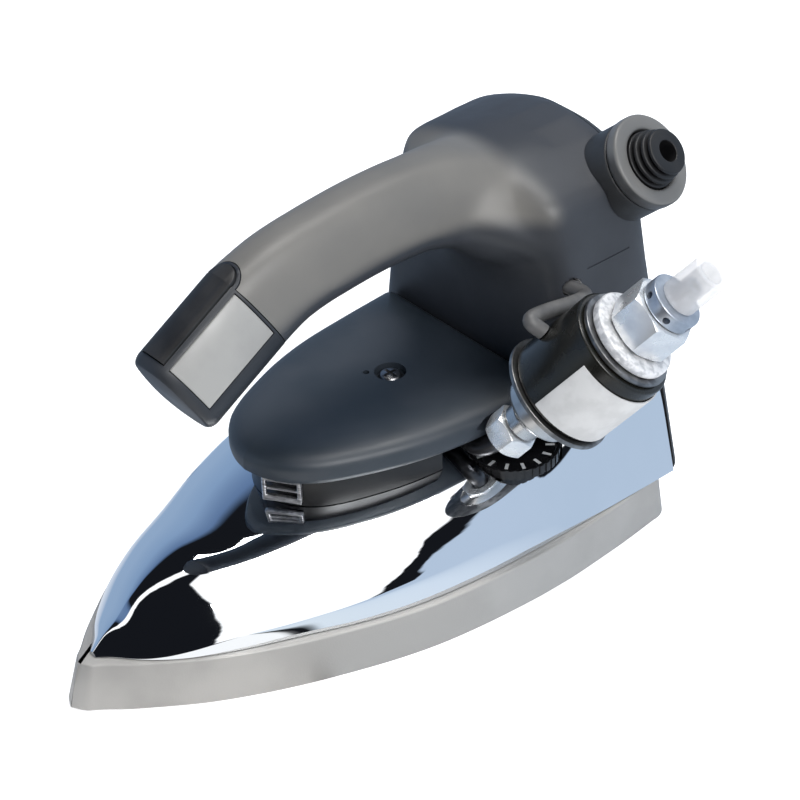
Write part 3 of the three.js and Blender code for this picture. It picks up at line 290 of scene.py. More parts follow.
def carved(piece, *tools, way="DIFFERENCE"):
    """Cuts each tool from a piece, or keeps what they share, and removes the tools."""
    for tool in tools:
        cutter = tool if isinstance(tool, bpy.types.Object) else thing("tool", tool)
        modifier = piece.modifiers.new("cut", "BOOLEAN")
        modifier.operation = way
        modifier.solver = "MANIFOLD"
        modifier.object = cutter
        settled(piece)
        bpy.data.objects.remove(cutter)
    return piece


def eased(piece, width, segments=2, angle=32):
    """Rounds a piece's sharp edges."""
    modifier = piece.modifiers.new("round", "BEVEL")
    modifier.width = width
    modifier.segments = segments
    modifier.limit_method = "ANGLE"
    modifier.angle_limit = radians(angle)
    return settled(piece)


def group_of(kind, name, takes, gives):
    """A node group with named inputs and outputs, its inputs' values and its end."""
    group = bpy.data.node_groups.new(name, kind)
    for side, sockets in (("INPUT", takes), ("OUTPUT", gives)):
        for label, form, *value in sockets:
            socket = group.interface.new_socket(name=label, in_out=side, socket_type="NodeSocket" + form)
            if value:
                socket.default_value = value[0]
    return group, group.nodes.new("NodeGroupInput").outputs, group.nodes.new("NodeGroupOutput")


def surface_group():
    """Cast or moulded skin: soft patches of a second colour, fine grain and uneven gloss."""
    group, takes, leave = group_of("ShaderNodeTree", "surface", [
        ("Vector", "Vector"), ("Color", "Color"), ("Patch Color", "Color"), ("Patch Size", "Float"),
        ("Roughness", "Float"), ("Unevenness", "Float"), ("Grain Size", "Float"), ("Grain Depth", "Float")],
        [("Color", "Color"), ("Roughness", "Float"), ("Normal", "Vector")])
    patch, grain = (cloud(group, takes["Vector"], takes[size], detail)
                    for size, detail in (("Patch Size", 4), ("Grain Size", 2)))
    mask = spread(group, patch, 0.38, 0.64, kind="SMOOTHSTEP")
    gloss = sums(group, "MULTIPLY_ADD", mask, takes["Unevenness"], takes["Roughness"])
    bump = node(group, "ShaderNodeBump", {"Height": grain, "Distance": takes["Grain Depth"]})
    tint = mixed(group, mask, takes["Color"], takes["Patch Color"])
    for name, value in (("Color", tint), ("Roughness", gloss), ("Normal", bump.outputs["Normal"])):
        group.links.new(value, leave.inputs[name])
    return group


def painted_sheen_group():
    """Painted light: a greyish sheen, in uneven patches, on faces turned up and sideways as if lit from above. It
    is kept off what lies below a line, which stays dark as painted shade, and fades out behind a rear line.
    """
    group, takes, leave = group_of("ShaderNodeTree", "painted_sheen", [
        ("Vector", "Vector"), ("Normal", "Vector"), ("Rear", "Float", 1.0), ("Run", "Float", 0.02),
        ("Patch Size", "Float", 40.0), ("Low", "Float", -1.0), ("Low From", "Float", 0.04)],
        [("Mask", "Float")])
    either = node(group, "ShaderNodeVectorMath", {0: takes["Normal"]}, operation="ABSOLUTE")
    sides, facing, place = (node(group, "ShaderNodeSeparateXYZ", {0: value}).outputs
                            for value in (either.outputs[0], takes["Normal"], takes["Vector"]))
    # Painted light: faces turned up and to the sides take the lighter tone, as if lit from above.
    lean = sums(group, "MULTIPLY_ADD", sides["X"], 0.5, facing["Z"])
    upward = spread(group, lean, 0.3, 0.68, kind="SMOOTHSTEP")
    before = sums(group, "SUBTRACT", takes["Rear"], place["Y"])
    fade = spread(group, before, 0, takes["Run"], kind="SMOOTHSTEP")
    uneven = spread(group, cloud(group, takes["Vector"], takes["Patch Size"], 3), 0, 1, 0.7, 1.1)
    mask = sums(group, "MULTIPLY", sums(group, "MULTIPLY", upward, fade), uneven)
    # Painted shade: below the Low line and behind Low From the lighter tone is kept off, so the underside stays
    # dark.
    lower = spread(group, sums(group, "SUBTRACT", takes["Low"], place["Z"]), 0, 0.006, kind="SMOOTHSTEP")
    later = spread(group, sums(group, "SUBTRACT", place["Y"], takes["Low From"]), 0, 0.016, kind="SMOOTHSTEP")
    left = sums(group, "SUBTRACT", 1, sums(group, "MULTIPLY", lower, later))
    group.links.new(sums(group, "MULTIPLY", mask, left), leave.inputs["Mask"])
    return group


surface, painted_sheen = surface_group(), painted_sheen_group()


def finish(name, color, patch, roughness, metallic=0.0, grain=(60.0, 2500.0, 0.00001), uneven=0.1,
           turn=(0, 0, 0), stretch=(1, 1, 1), plain=()):
    """A material of the surface group, with the size of its patches and the size and depth of its grain."""
    material = bpy.data.materials.new(name)
    material.use_nodes = True
    tree = material.node_tree
    place = node(tree, "ShaderNodeTexCoord").outputs["Object"]
    mapping = node(tree, "ShaderNodeMapping", {"Vector": place, "Rotation": turn, "Scale": stretch})
    coat = node(tree, "ShaderNodeGroup", node_tree=surface)
    given(coat, {"Vector": mapping.outputs[0], "Color": (*color, 1), "Patch Color": (*patch, 1),
                 "Patch Size": grain[0], "Roughness": roughness, "Unevenness": uneven, "Grain Size": grain[1],
                 "Grain Depth": grain[2]})
    given(tree.nodes["Principled BSDF"], {
        "Metallic": metallic, "Base Color": coat.outputs["Color"], "Roughness": coat.outputs["Roughness"],
        "Normal": coat.outputs["Normal"], **dict(plain)})
    return material


def painted_sheen_over(material, tone, values=()):
    """Lays the painted sheen's lighter tone over a finish, as painted light."""
    tree = material.node_tree
    shaded = tree.nodes["Principled BSDF"].inputs["Base Color"]
    place = node(tree, "ShaderNodeTexCoord").outputs
    sheen_node = node(tree, "ShaderNodeGroup", node_tree=painted_sheen)
    given(sheen_node, {"Vector": place["Object"], "Normal": place["Normal"], **dict(values)})
    tree.links.new(mixed(tree, sheen_node.outputs["Mask"], shaded.links[0].from_socket, (*tone, 1)), shaded)
    return material


def dress(piece, material, slot, *nodes, body="iron_body", sharp=32):
    """Smooths, paints and seats a finished piece, which stands for the CAD nodes."""
    piece.data.shade_smooth()
    piece.data.set_sharp_from_angle(angle=radians(sharp))
    coated_with(piece.data, material)
    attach(piece, body)
    if nodes:
        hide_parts(*nodes)
    return piece


def coated_with(mesh, material):
    mesh.materials.clear()
    mesh.materials.append(material)


def paint(material, *nodes):
    """Gives CAD nodes whose shape stays a better material."""
    for name in nodes:
        coated_with(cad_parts[name].data, material)


def sole_ring(distance, z):
    points = inset(sole_outline, distance)
    if z > sole_thick / 2:
        points[:, 1] += sole_sweep * np.maximum(0, -points[:, 1]) / (sole_length / 2)
    return level(points, z)


def box_mesh(x0, x1, y0, y1, z0, z1):
    points = [(x, y, z) for z in (z0, z1) for x, y in ((x0, y0), (x1, y0), (x1, y1), (x0, y1))]
    return mesh_of(points, [(3, 2, 1, 0), (4, 5, 6, 7), (0, 1, 5, 4), (1, 2, 6, 5), (2, 3, 7, 6), (3, 0, 4, 7)])


def upright(x, y, low, high, radius, sides=48):
    return rod_mesh((x, y, low), (x, y, high), radius, sides)


def rod_mesh(start, end, radius, sides=48):
    """A round rod between two places."""
    start, end = Vector(start), Vector(end)
    turn = (end - start).to_track_quat("Z", "X").to_matrix()
    circle = [turn @ Vector((radius * cos(2 * pi * k / sides), radius * sin(2 * pi * k / sides), 0))
              for k in range(sides)]
    return skin([np.array([place + p for p in circle]) for place in (start, end)])


def geometry_tree(name, takes):
    """A node tree with a shape in and out and named inputs."""
    shape = [("Geometry", "Geometry")]
    return group_of("GeometryNodeTree", name, [*shape, *takes, ("Material", "Material")], shape)


def coated(group, takes, leave, shape):
    """Ends a tree: what it made becomes a real mesh in its own material."""
    real = node(group, "GeometryNodeRealizeInstances", {0: shape})
    coat = node(group, "GeometryNodeSetMaterial", {"Geometry": real.outputs[0], "Material": takes["Material"]})
    group.links.new(coat.outputs[0], leave.inputs[0])
    return group


def grown(name, source, group, **values):
    """Runs a node tree on a mesh and keeps the result as a plain mesh."""
    piece = thing(name, source or bpy.data.meshes.new(name))
    modifier = piece.modifiers.new("nodes", "NODES")
    modifier.node_group = group
    for item in group.interface.items_tree:
        if item.in_out == "INPUT" and item.name.lower() in values:
            modifier[item.identifier] = values[item.name.lower()]
    return settled(piece)


def steam_holes_tree():
    """Two mirrored rows of drills that spread away from the tip."""
    group, takes, leave = geometry_tree("steam_holes", [
        ("Count", "Int"), ("First", "Vector"), ("Step", "Vector"), ("Radius", "Float"), ("Deep", "Float")])
    drill = node(group, "GeometryNodeMeshCylinder", {
        "Vertices": 28, "Radius": takes["Radius"], "Depth": takes["Deep"]})
    rows = node(group, "GeometryNodeJoinGeometry")
    for side in (1, -1):
        start, step = (node(group, "ShaderNodeVectorMath", {0: takes[label], 1: (side, 1, 1)},
                            operation="MULTIPLY").outputs[0] for label in ("First", "Step"))
        row = node(group, "GeometryNodeMeshLine", {
            "Count": takes["Count"], "Start Location": start, "Offset": step})
        group.links.new(row.outputs[0], rows.inputs[0])
    stand = node(group, "GeometryNodeInstanceOnPoints", {
        "Points": rows.outputs[0], "Instance": drill.outputs["Mesh"]})
    return coated(group, takes, leave, stand.outputs[0])


def curve_through(knots, count, width=None):
    """Centripetal curve through knots, spaced by their first columns, as count + 1 rows."""
    knots = np.array(knots, float)
    width = width or knots.shape[1]
    knots = np.concatenate(([2 * knots[0] - knots[1]], knots, [2 * knots[-1] - knots[-2]]))
    spans = len(knots) - 3
    rows = []
    for k in range(count + 1):
        place = spans * k / count
        i = min(int(place), spans - 1)
        t = place - i
        a, b, c, d = knots[i:i + 4]
        da, db, dc = (max(np.linalg.norm(q[:width] - p[:width]), 1e-9) ** 0.5
                      for p, q in ((a, b), (b, c), (c, d)))
        lead = ((b - a) / da - (c - a) / (da + db) + (c - b) / db) * db
        trail = ((c - b) / db - (d - b) / (db + dc) + (d - c) / dc) * db
        rows.append(b + lead * t + (3 * (c - b) - 2 * lead - trail) * t ** 2
                    + (2 * (b - c) + lead + trail) * t ** 3)
    return np.array(rows)


def channel(route, half, low, high):
    """A slot's form that follows a route in plan."""
    way = np.gradient(route[:, :2], axis=0)
    way /= np.linalg.norm(way, axis=1)[:, None]
    side = half * np.column_stack((-way[:, 1], way[:, 0]))
    plan = np.concatenate((route[:, :2] + side, (route[:, :2] - side)[::-1]))
    return prism(plan, low, high)


sole_outline = boat(-sole_length / 2, sole_length / 2, sole_half, sole_corner, sole_shares)
sole_profile = [(1.0, 0), (0.5, 0.13), (0.13, 0.5), (0, 1.0)]
sole_rings = [sole_ring(sole_edge * back, sole_edge * up) for back, up in sole_profile]
sole_rings += [sole_ring(sole_draft + sole_edge * back, sole_thick - sole_edge * up)
               for back, up in sole_profile[::-1]]
soleplate = thing("soleplate_casting", skin(sole_rings))
cast_grey = finish("cast_aluminium", (0.41, 0.4, 0.385), (0.36, 0.352, 0.34), 0.46, 0.45,
                   grain=(26.0, 1800.0, 0.00004), uneven=0.12)
chamber_tip, chamber_heel, chamber_half, chamber_corner, chamber_floor = -0.06, 0.062, 0.021, 0.005, 0.007
chamber_shares = [(0, 0), (0.03, 0.22), (0.12, 0.5), (0.35, 0.85), (0.65, 1), (0.96, 1)]
hole_count, hole_first, hole_step, hole_radius = 6, (0.0045, -0.046, 0), (0.0019, 0.015, 0), 0.0016
element_radius, element_floor, element_lift, element_pit = 0.004, 0.0054, 0.0013, 0.009
element_bend, element_rise, element_top = 0.031, 0.09, 0.036
element_shares = [(0.925, 1), (1, 0.45), (0.925, 0), (0.66, -0.43), (0.3, -0.84), (0, -0.97)]
element_leg, element_long = 0.04, 0.078
lying = element_floor + element_radius + element_lift
half_route = [(out * element_leg, back * element_long, lying) for out, back in element_shares]
rising = [(element_bend, element_rise, element_top), (element_bend, element_rise, sole_thick + element_radius)]
near_route = rising + half_route
element_route = curve_through(near_route + [(-x, y, z) for x, y, z in near_route[:-1][::-1]], 120)
groove_route = np.array([place for place in element_route if place[1] < element_rise - gap])
chamber = boat(chamber_tip, chamber_heel, chamber_half, chamber_corner, chamber_shares)
carved(soleplate, prism(chamber, chamber_floor, sole_thick + over),
       channel(groove_route, element_radius + 2 * gap, element_floor, sole_thick + over),
       *(upright(x, element_rise, element_floor, sole_thick + over, element_pit)
         for x in (element_bend, -element_bend)),
       grown("drills", None, steam_holes_tree(), count=hole_count, first=hole_first,
             step=hole_step, radius=hole_radius, deep=4 * chamber_floor))
dress(soleplate, cast_grey, "cast_sole", "soleplate")

# Steam chamber and element: a sheathed heating rod lies in the casting's groove, and a pressed lid
# on a red gasket closes the chamber with four screws. The safety fuse lies on the lid.
lid_top = sole_thick + 0.0034
chamber_screw_radius, chamber_screw_long, chamber_head, chamber_head_tall = 0.0015, 0.006, 0.0027, 0.0018
chamber_screw_places = [(0.0163, -0.0334), (0.0219, 0.0614), (-0.0219, 0.0614), (-0.0163, -0.0334)]


def softened(profile, radius, steps=4):
    """A closed profile with each of its corners rounded."""
    points = [Vector(p) for p in profile]
    rounded = []
    for i, corner in enumerate(points):
        before, after = points[i - 1], points[(i + 1) % len(points)]
        reach = min(radius, (before - corner).length * 0.45, (after - corner).length * 0.45)
        start = corner + (before - corner).normalized() * reach
        end = corner + (after - corner).normalized() * reach
        rounded += [start * (1 - t) ** 2 + corner * (2 * t * (1 - t)) + end * t ** 2
                    for t in np.linspace(0, 1, steps + 1)]
    return rounded


def turned(name, profile, where, radius=0.0004, sides=96):
    """A piece turned round Z from a closed profile of radius and height."""
    outline = softened(profile, radius) if radius else [Vector(p) for p in profile]
    count = len(outline)
    points, faces = [], []
    for k in range(sides):
        angle = 2 * pi * k / sides
        points += [where @ Vector((r * cos(angle), r * sin(angle), z)) for r, z in outline]
        after = (k + 1) % sides
        faces += [(k * count + i, k * count + j, after * count + j, after * count + i)
                  for i, j in zip(range(count), [*range(1, count), 0])]
    return thing(name, mesh_of(points, faces))


def ring_profile(outer, inner, low, high):
    return [(inner, low), (outer, low), (outer, high), (inner, high)]


def placed(piece, where):
    """Moves a piece or a mesh from its own frame to the object's."""
    getattr(piece, "data", piece).transform(where)
    return piece


def tube_tree():
    """A round tube along a chain of edges."""
    group, takes, leave = geometry_tree("tube_along", [("Radius", "Float"), ("Sides", "Int", 32)])
    line = node(group, "GeometryNodeMeshToCurve", {"Mesh": takes["Geometry"]})
    form = node(group, "GeometryNodeCurvePrimitiveCircle", {
        "Radius": takes["Radius"], "Resolution": takes["Sides"]})
    sweep = node(group, "GeometryNodeCurveToMesh", {"Curve": line.outputs[0], "Profile Curve": form.outputs[0],
                                                    "Fill Caps": True})
    return coated(group, takes, leave, sweep.outputs[0])


def tube(name, route, radius, material=None):
    mesh = bpy.data.meshes.new(name)
    mesh.from_pydata([tuple(p) for p in route], [(i, i + 1) for i in range(len(route) - 1)], [])
    piece = grown(name, mesh, tube_along, radius=radius, material=material)
    mended(piece.data)
    return piece


def screw_set_tree():
    """One screw on every point of a mesh."""
    group, takes, leave = geometry_tree("screw_set", [("Screw", "Object")])
    source = node(group, "GeometryNodeObjectInfo", {"Object": takes["Screw"]})
    stand = node(group, "GeometryNodeInstanceOnPoints", {"Points": takes["Geometry"],
                                                         "Instance": source.outputs["Geometry"]})
    return coated(group, takes, leave, stand.outputs[0])


def cross_screw(radius, long, head_radius, head_tall):
    """A domed screw with a driver's cross, with its head's seat at the origin and its end below."""
    screw = turned("screw", [(0, -long), (radius * 0.6, -long), (radius, radius - long), (radius, 0),
                             (head_radius, 0), (head_radius, head_tall * 0.4),
                             (head_radius * 0.8, head_tall * 0.85),
                             (head_radius * 0.35, head_tall), (0, head_tall)], Matrix(), 0.0002, 40)
    bar, wide = head_radius * 0.62, head_radius * 0.14
    for x, y in ((bar, wide), (wide, bar)):
        carved(screw, box_mesh(-x, x, -y, y, head_tall * 0.4, head_tall + over))
    return screw


def screw_row(name, screw, places, material, slot, *nodes, turn=Matrix()):
    """Stands a screw on each place, turned to its axis, in one piece."""
    placed(screw, turn)
    points = bpy.data.meshes.new(name)
    points.from_pydata([tuple(p) for p in places], [], [])
    piece = grown(name, points, screw_set, screw=screw, material=material)
    bpy.data.objects.remove(screw)
    return dress(piece, material, slot, *nodes)


tube_along, screw_set = tube_tree(), screw_set_tree()
sheath_grey = finish("element_sheath", (0.1, 0.085, 0.075), (0.16, 0.13, 0.11), 0.5, 0.8,
                     grain=(60.0, 1500.0, 0.00003))
dress(tube("element_rod", element_route, element_radius, sheath_grey), sheath_grey, "element_sheath",
      "heating_element", sharp=60)
gasket_red = finish("gasket_rubber", (0.3, 0.05, 0.03), (0.22, 0.035, 0.025), 0.7,
                    grain=(70.0, 1800.0, 0.00003))
paint(gasket_red, "chamber_gasket")
plain_steel = finish("plain_steel", (0.42, 0.42, 0.42), (0.34, 0.34, 0.345), 0.36, 1.0,
                     stretch=(1, 8, 1), grain=(50.0, 700.0, 0.00002))
paint(plain_steel, "chamber_cover", "post_1", "post_2", "post_3", "thermostat_body", "thermostat_shaft")
screw_steel = finish("screw_steel", (0.3, 0.3, 0.31), (0.22, 0.22, 0.23), 0.3, 1.0,
                     grain=(300.0, 2500.0, 0.00001))
screw_row("chamber_screws", cross_screw(chamber_screw_radius, lid_top - sole_thick + chamber_screw_long,
                                        chamber_head, chamber_head_tall),
          [(x, y, lid_top) for x, y in chamber_screw_places], screw_steel, "screw_steel",
          *(f"chamber_screw_{number}" for number in (1, 2, 3, 4)))
ceramic_white = finish("white_plastic", (0.62, 0.61, 0.57), (0.54, 0.53, 0.49), 0.45,
                       grain=(120.0, 2500.0, 0.00001))
paint(ceramic_white, "thermal_fuse")

# Hood: thin steel pressed over the hot casting and chromed, open below and at the heel.
# Its skin follows the stations of the pressing, with a hollow for the dial and holes for the posts.
hood_tip, hood_heel, hood_half, hood_tall, hood_wall = -0.094, 0.1054, 0.055, 0.0394, 0.0012
hood_base = sole_thick + gap
hood_stations = [
    (0, 0.03, 0.03, 1.3, 0), (0.02, 0.1, 0.12, 1.3, 0), (0.045, 0.21, 0.2, 1.35, 0),
    (0.081, 0.33, 0.365, 1.45, 0), (0.121, 0.43, 0.475, 1.6, 0), (0.182, 0.545, 0.558, 1.78, 0),
    (0.27, 0.68, 0.59, 1.95, 0),
    (0.374, 0.832, 0.665, 2.2, 0), (0.475, 0.93, 0.71, 2.5, 0), (0.6, 0.985, 0.765, 2.8, 0.03),
    (0.73, 1, 0.81, 3.2, 0.08), (0.83, 1, 0.93, 5, 0.14), (0.9, 1, 0.985, 7, 0.165), (1, 1, 1, 8, 0.17)]


def hood_form(growth, drop, run_on, steps=110, sides=64):
    rings = []
    for k, (place, wide, tall, roundness, lean) in enumerate(curve_through(hood_stations, steps, 3)):
        wide = max(wide * hood_half + growth, gap)
        tall = max(tall * hood_tall + growth, gap)
        y = hood_tip - growth + place * (hood_heel - hood_tip + growth) + (run_on if k == steps else 0)
        angles = pi * np.arange(sides + 1) / sides
        high = np.sin(angles).clip(0) ** (2 / roundness)
        out = np.sign(np.cos(angles)) * np.abs(np.cos(angles)) ** (2 / roundness)
        arch = np.column_stack((wide * out * (1 - max(lean, 0) * high), np.full(sides + 1, y),
                                hood_base + tall * high))
        rings.append(np.concatenate(([(wide, y, hood_base - drop)], arch, [(-wide, y, hood_base - drop)])))
    return skin(rings)


shell = thing("hood_skin", hood_form(0, 0, 0))
carved(shell, hood_form(-hood_wall, over, over))
post_y, rear_post_x, rear_post_y, post_hole = 0.03, 0.022, 0.076, 0.0024
dial_x, dial_y, thermostat_top = 0.0348, 0.0514, sole_thick + 0.01
pipe_x, pipe_y, pipe_hole = 0.015, 0.036, 0.0058
dial_hole, dial_hollow, dial_hollow_low = 0.0113, 0.016, 0.039
window_half, window_front, window_rear, window_low, hole_tops = 0.033, 0.084, 0.1104, 0.0475, 0.0575
for x, y, z, radius in ((0, post_y, sole_thick, post_hole), (rear_post_x, rear_post_y, sole_thick, post_hole),
                        (-rear_post_x, rear_post_y, sole_thick, post_hole),
                        (dial_x, dial_y, dial_hollow_low, dial_hollow),
                        (dial_x, dial_y, thermostat_top, dial_hole), (pipe_x, pipe_y, sole_thick, pipe_hole)):
    carved(shell, upright(x, y, z, hole_tops, radius))
carved(shell, box_mesh(-window_half, window_half, window_front, window_rear, window_low, hole_tops))
chrome = finish("chrome", (0.88, 0.9, 0.93), (0.84, 0.87, 0.9), 0.015, 1.0,
                grain=(14.0, 28.0, 0.0002), uneven=0.015)
dress(shell, chrome, "chrome_hood", "shell")

# Heat shield: one thick black slab under the hand, crowned towards its rounded rim, with a deep
# round recess for the screw that holds it to the post below.
shield_front, shield_heel, shield_half = -0.031, 0.065, 0.04
shield_low, shield_top, shield_corner = 0.054, 0.064, 0.003
shield_shares = [(0, 0), (0.012, 0.15), (0.04, 0.3), (0.09, 0.45), (0.16, 0.575), (0.27, 0.7), (0.42, 0.83),
                 (0.58, 0.915), (0.78, 0.965), (0.97, 1)]
recess_radius, recess_deep = 0.0052, 0.0026
shield_rim = [(0.0028, 0), (0.0012, 0.0004), (0.0003, 0.0013), (0, 0.0027), (0, 0.0052), (0.0003, 0.0065),
              (0.0011, 0.0076), (0.0026, 0.0086), (0.005, 0.0093), (0.009, 0.0098), (0.014, 0.01)]


def shield_ring(back, z):
    return level(boat(shield_front + back, shield_heel - back, shield_half - back,
                      max(shield_corner - back, gap), shield_shares), z)


shield = thing("heat_shield_slab", skin([
    shield_ring(back, shield_low + up) for back, up in shield_rim]))
screw_seat = shield_top - recess_deep
pin_x, pin_y, pin_radius = -0.005, 0.024, 0.0011
valve_place, valve_way = Vector((0.0576, 0.0494, 0.0747)), Vector((0.555, 0.383, 0.739)).normalized()
valve_reach, nut_notch = 0.029, 0.0085
carved(shield, upright(0, post_y, screw_seat, shield_top + over, recess_radius),
       upright(0, post_y, shield_low - over, shield_top, post_hole),
       upright(pin_x, pin_y, screw_seat, shield_top + over, pin_radius, 24),
       rod_mesh(valve_place - valve_reach * valve_way, valve_place, nut_notch))
shield_black = finish("shield_plastic", (0.022, 0.03, 0.04), (0.03, 0.038, 0.05), 0.41,
                      grain=(30.0, 3000.0, 0.00001))
dress(shield, shield_black, "shield_plastic", "heat_shield")
pan_radius, pan_head, pan_tall, pan_end, rear_pan_end = 0.002, 0.004, 0.0022, 0.0355, 0.0424
screw_row("shield_pan_screw", cross_screw(pan_radius, screw_seat - pan_end, pan_head, pan_tall),
          [(0, post_y, screw_seat)], screw_steel, "screw_steel", "shield_screw")

# Foot: a black insulating block between hood and shield, cut to the hood's form, with a notch for
# the pipe and the dial. A stamped steel clip with two slots is let into its front.
foot_inset, foot_low, foot_edge, notch_x, notch_y = 0.007, 0.036, 0.0007, 0.007, 0.025
foot_outline = boat(shield_front + foot_inset, shield_heel - foot_inset, shield_half - foot_inset,
                    shield_corner, shield_shares)
foot = thing("insulating_foot", prism(foot_outline, foot_low, shield_low))
carved(foot, hood_form(gap, over, over, 80, 48),
       box_mesh(notch_x, shield_half, notch_y, shield_heel, foot_low - over, shield_low + over),
       upright(0, post_y, foot_low - over, shield_low + over, post_hole))
foot_black = finish("foot_plastic", (0.005, 0.005, 0.006), (0.009, 0.009, 0.01), 0.36,
                    grain=(60.0, 2500.0, 0.00001))
dress(eased(foot, foot_edge, 3), foot_black, "foot_plastic", "shield_spacer")
clip_wide, clip_tall, clip_thick, clip_slot, clip_side, clip_bars = 0.013, 0.0094, 0.0018, 0.0024, 0.0013, 3
clip_place, clip_turn, clip_edge = (0.0084, -0.023, 0.0484), radians(33), 0.0004
clip_frame = Matrix.Translation(clip_place) @ Matrix.Rotation(clip_turn, 4, "Z")
clip = thing("slotted_clip", box_mesh(-clip_wide / 2, clip_wide / 2, -clip_thick / 2, clip_thick / 2,
                                      -clip_tall / 2, clip_tall / 2))
for bar in range(1, clip_bars):
    middle = clip_tall * (bar / clip_bars - 0.5)
    carved(clip, box_mesh(clip_side - clip_wide / 2, clip_wide / 2 - clip_side, -clip_thick, clip_thick,
                          middle - clip_slot / 2, middle + clip_slot / 2))
clip_steel = finish("clip_steel", (0.75, 0.75, 0.77), (0.34, 0.34, 0.36), 0.34, 0.95,
                    stretch=(1, 1, 6), grain=(240.0, 1500.0, 0.00002))
dress(placed(eased(clip, clip_edge, 3), clip_frame), clip_steel, "clip_steel", "shield_clip")

# Handle: the arched grip and the tall housing behind it, moulded in one hollow piece. The skin is
# lofted, joined in voxels and softened, so the grip flows into the housing as it does in the mould.
grip_seam_y, grip_seam_z, grip_slope, grip_rise = -0.0278, 0.1165, radians(31), 0.0076
grip_half, grip_high = 0.0126, 0.0142
tower_front, tower_rear, tower_seam, tower_low, tower_top = 0.0655, 0.1104, 0.1058, 0.05, 0.1323
tower_tall, tower_half, tower_wall = 0.1164, 0.0554, 0.0026
grip_span = tower_front + 0.0187 - grip_seam_y
grip_round, grip_round_low, grip_lean, grip_chin, grip_wall = 0.63, 0.78, 0.27, 0.0042, 0.0026
grip_stations = [(0, 0, 1, 1, 1), (0.12, 0.56, 1.01, 1, 0.4), (0.27, 0.83, 1.03, 1.02, 0),
                 (0.43, 1, 1.04, 1.02, 0), (0.6, 0.93, 1.08, 1.03, 0), (0.74, 0.56, 1.42, 1.12, 0),
                 (0.86, -0.25, 2.2, 1.34, 0),
                 (1, -0.6, 2.6, 1.45, 0)]
tower_rings = [(0, 1, 0, 0.35, 0.35), (0.355, 0.84, 0, 0.1, 0.55), (0.64, 0.757, 0, 0, 1),
               (0.905, 0.655, 0, 0, 1), (0.93, 0.605, 0.1, 0.05, 1), (0.958, 0.475, 0.3, 0.2, 0.95),
                (0.982, 0.31, 0.7, 0.5, 0.8),
               (1, 0.11, 1.4, 1.1, 0.4)]
tower_step, tower_front_corner, tower_rear_corner = 0.004, 0.007, 0.012


def grip_section(half, high, chin, sides=72):
    angles = 2 * pi * (np.arange(sides) + 0.5) / sides
    power = np.where(np.sin(angles) > 0, grip_round, grip_round_low)
    up = np.sign(np.sin(angles)) * np.abs(np.sin(angles)) ** power
    out = np.sign(np.cos(angles)) * np.abs(np.cos(angles)) ** power * (1 - grip_lean * up)
    return half * out, np.where(up > 0, high, high + chin) * up


def grip_form(wall, back, steps=70):
    centre = curve_through([(0, grip_seam_y + y * grip_span, grip_seam_z + z * grip_rise)
                            for y, z, _, _, _ in grip_stations], steps)
    sizes = curve_through([station[2:] for station in grip_stations], steps)
    ways = np.gradient(centre, axis=0)
    rings = []
    for k in range(steps + 1):
        turn = grip_slope if k == 0 else atan2(ways[k][2], ways[k][1])
        shift = back if k == 0 else 0
        y, z = centre[k][1] - shift * cos(turn), centre[k][2] - shift * sin(turn)
        wide, high, chin = sizes[k]
        x, up = grip_section(grip_half * wide - wall, grip_high * high - wall, grip_chin * chin)
        rings.append(np.column_stack((x, y - up * sin(turn), z + up * cos(turn))))
    return skin(rings)


def tower_form(wall, low_run, rear_run, corner_steps=10):
    rings = []
    for k, (rise, wide, front, rear, corner) in enumerate(tower_rings):
        half = wide * tower_half - wall
        y0, y1 = tower_front + front * tower_step + wall, tower_rear - rear * tower_step - wall + rear_run
        z = tower_top - (1 - rise) * tower_tall - (low_run if k == 0 else 0) - (wall if rise == 1 else 0)
        front_radius, rear_radius = min(tower_front_corner, half / 2), min(tower_rear_corner * corner, half / 2)
        ring = []
        for quarter, (side, y, radius) in enumerate(((1, y0, front_radius), (1, y1, rear_radius),
                                                     (-1, y1, rear_radius), (-1, y0, front_radius))):
            for step in range(corner_steps + 1):
                angle = pi / 2 * (quarter - 1 + step / corner_steps)
                ring.append((side * (half - radius) + radius * cos(angle),
                             y + (-radius if y == y1 else radius) + radius * sin(angle), z))
        rings.append(np.array(ring))
    return skin(rings)


def cut_across(piece, place, normal, keep_front):
    """Cuts a piece flat at a plane and closes the cut."""
    shape = bmesh.new()
    shape.from_mesh(piece.data)
    bmesh.ops.bisect_plane(shape, geom=shape.verts[:] + shape.edges[:] + shape.faces[:], plane_co=place,
                           plane_no=normal, clear_outer=keep_front, clear_inner=not keep_front)
    rim = [edge for edge in shape.edges if edge.is_boundary]
    bmesh.ops.contextual_create(shape, geom=rim)
    bmesh.ops.recalc_face_normals(shape, faces=shape.faces)
    shape.to_mesh(piece.data)
    shape.free()
    return piece


def filled(piece, rounds):
    """Fills a moulding's inner corners, as a mould's fillets do, and leaves its outer ones alone."""
    mesh = piece.data
    count = len(mesh.vertices)
    places, normals = np.empty(count * 3), np.empty(count * 3)
    edges = np.empty(len(mesh.edges) * 2, int)
    mesh.vertices.foreach_get("co", places)
    mesh.vertices.foreach_get("normal", normals)
    mesh.edges.foreach_get("vertices", edges)
    places, normals, edges = places.reshape(-1, 3), normals.reshape(-1, 3), edges.reshape(-1, 2)
    friends = np.bincount(edges.ravel(), minlength=count)[:, None]
    soft = places.copy()
    for _ in range(rounds):
        total = np.stack([np.bincount(edges[:, 0], soft[edges[:, 1], k], count)
                          + np.bincount(edges[:, 1], soft[edges[:, 0], k], count) for k in range(3)], 1)
        soft += (total / friends - soft) / 2
    push = np.maximum(0, ((soft - places) * normals).sum(1))[:, None]
    mesh.vertices.foreach_set("co", (places + push * normals).ravel())
    mesh.update()


def softly(piece, rounds, part=""):
    modifier = piece.modifiers.new("soften", "SMOOTH")
    modifier.factor = 0.5
    modifier.iterations = rounds
    modifier.vertex_group = part
    return settled(piece)


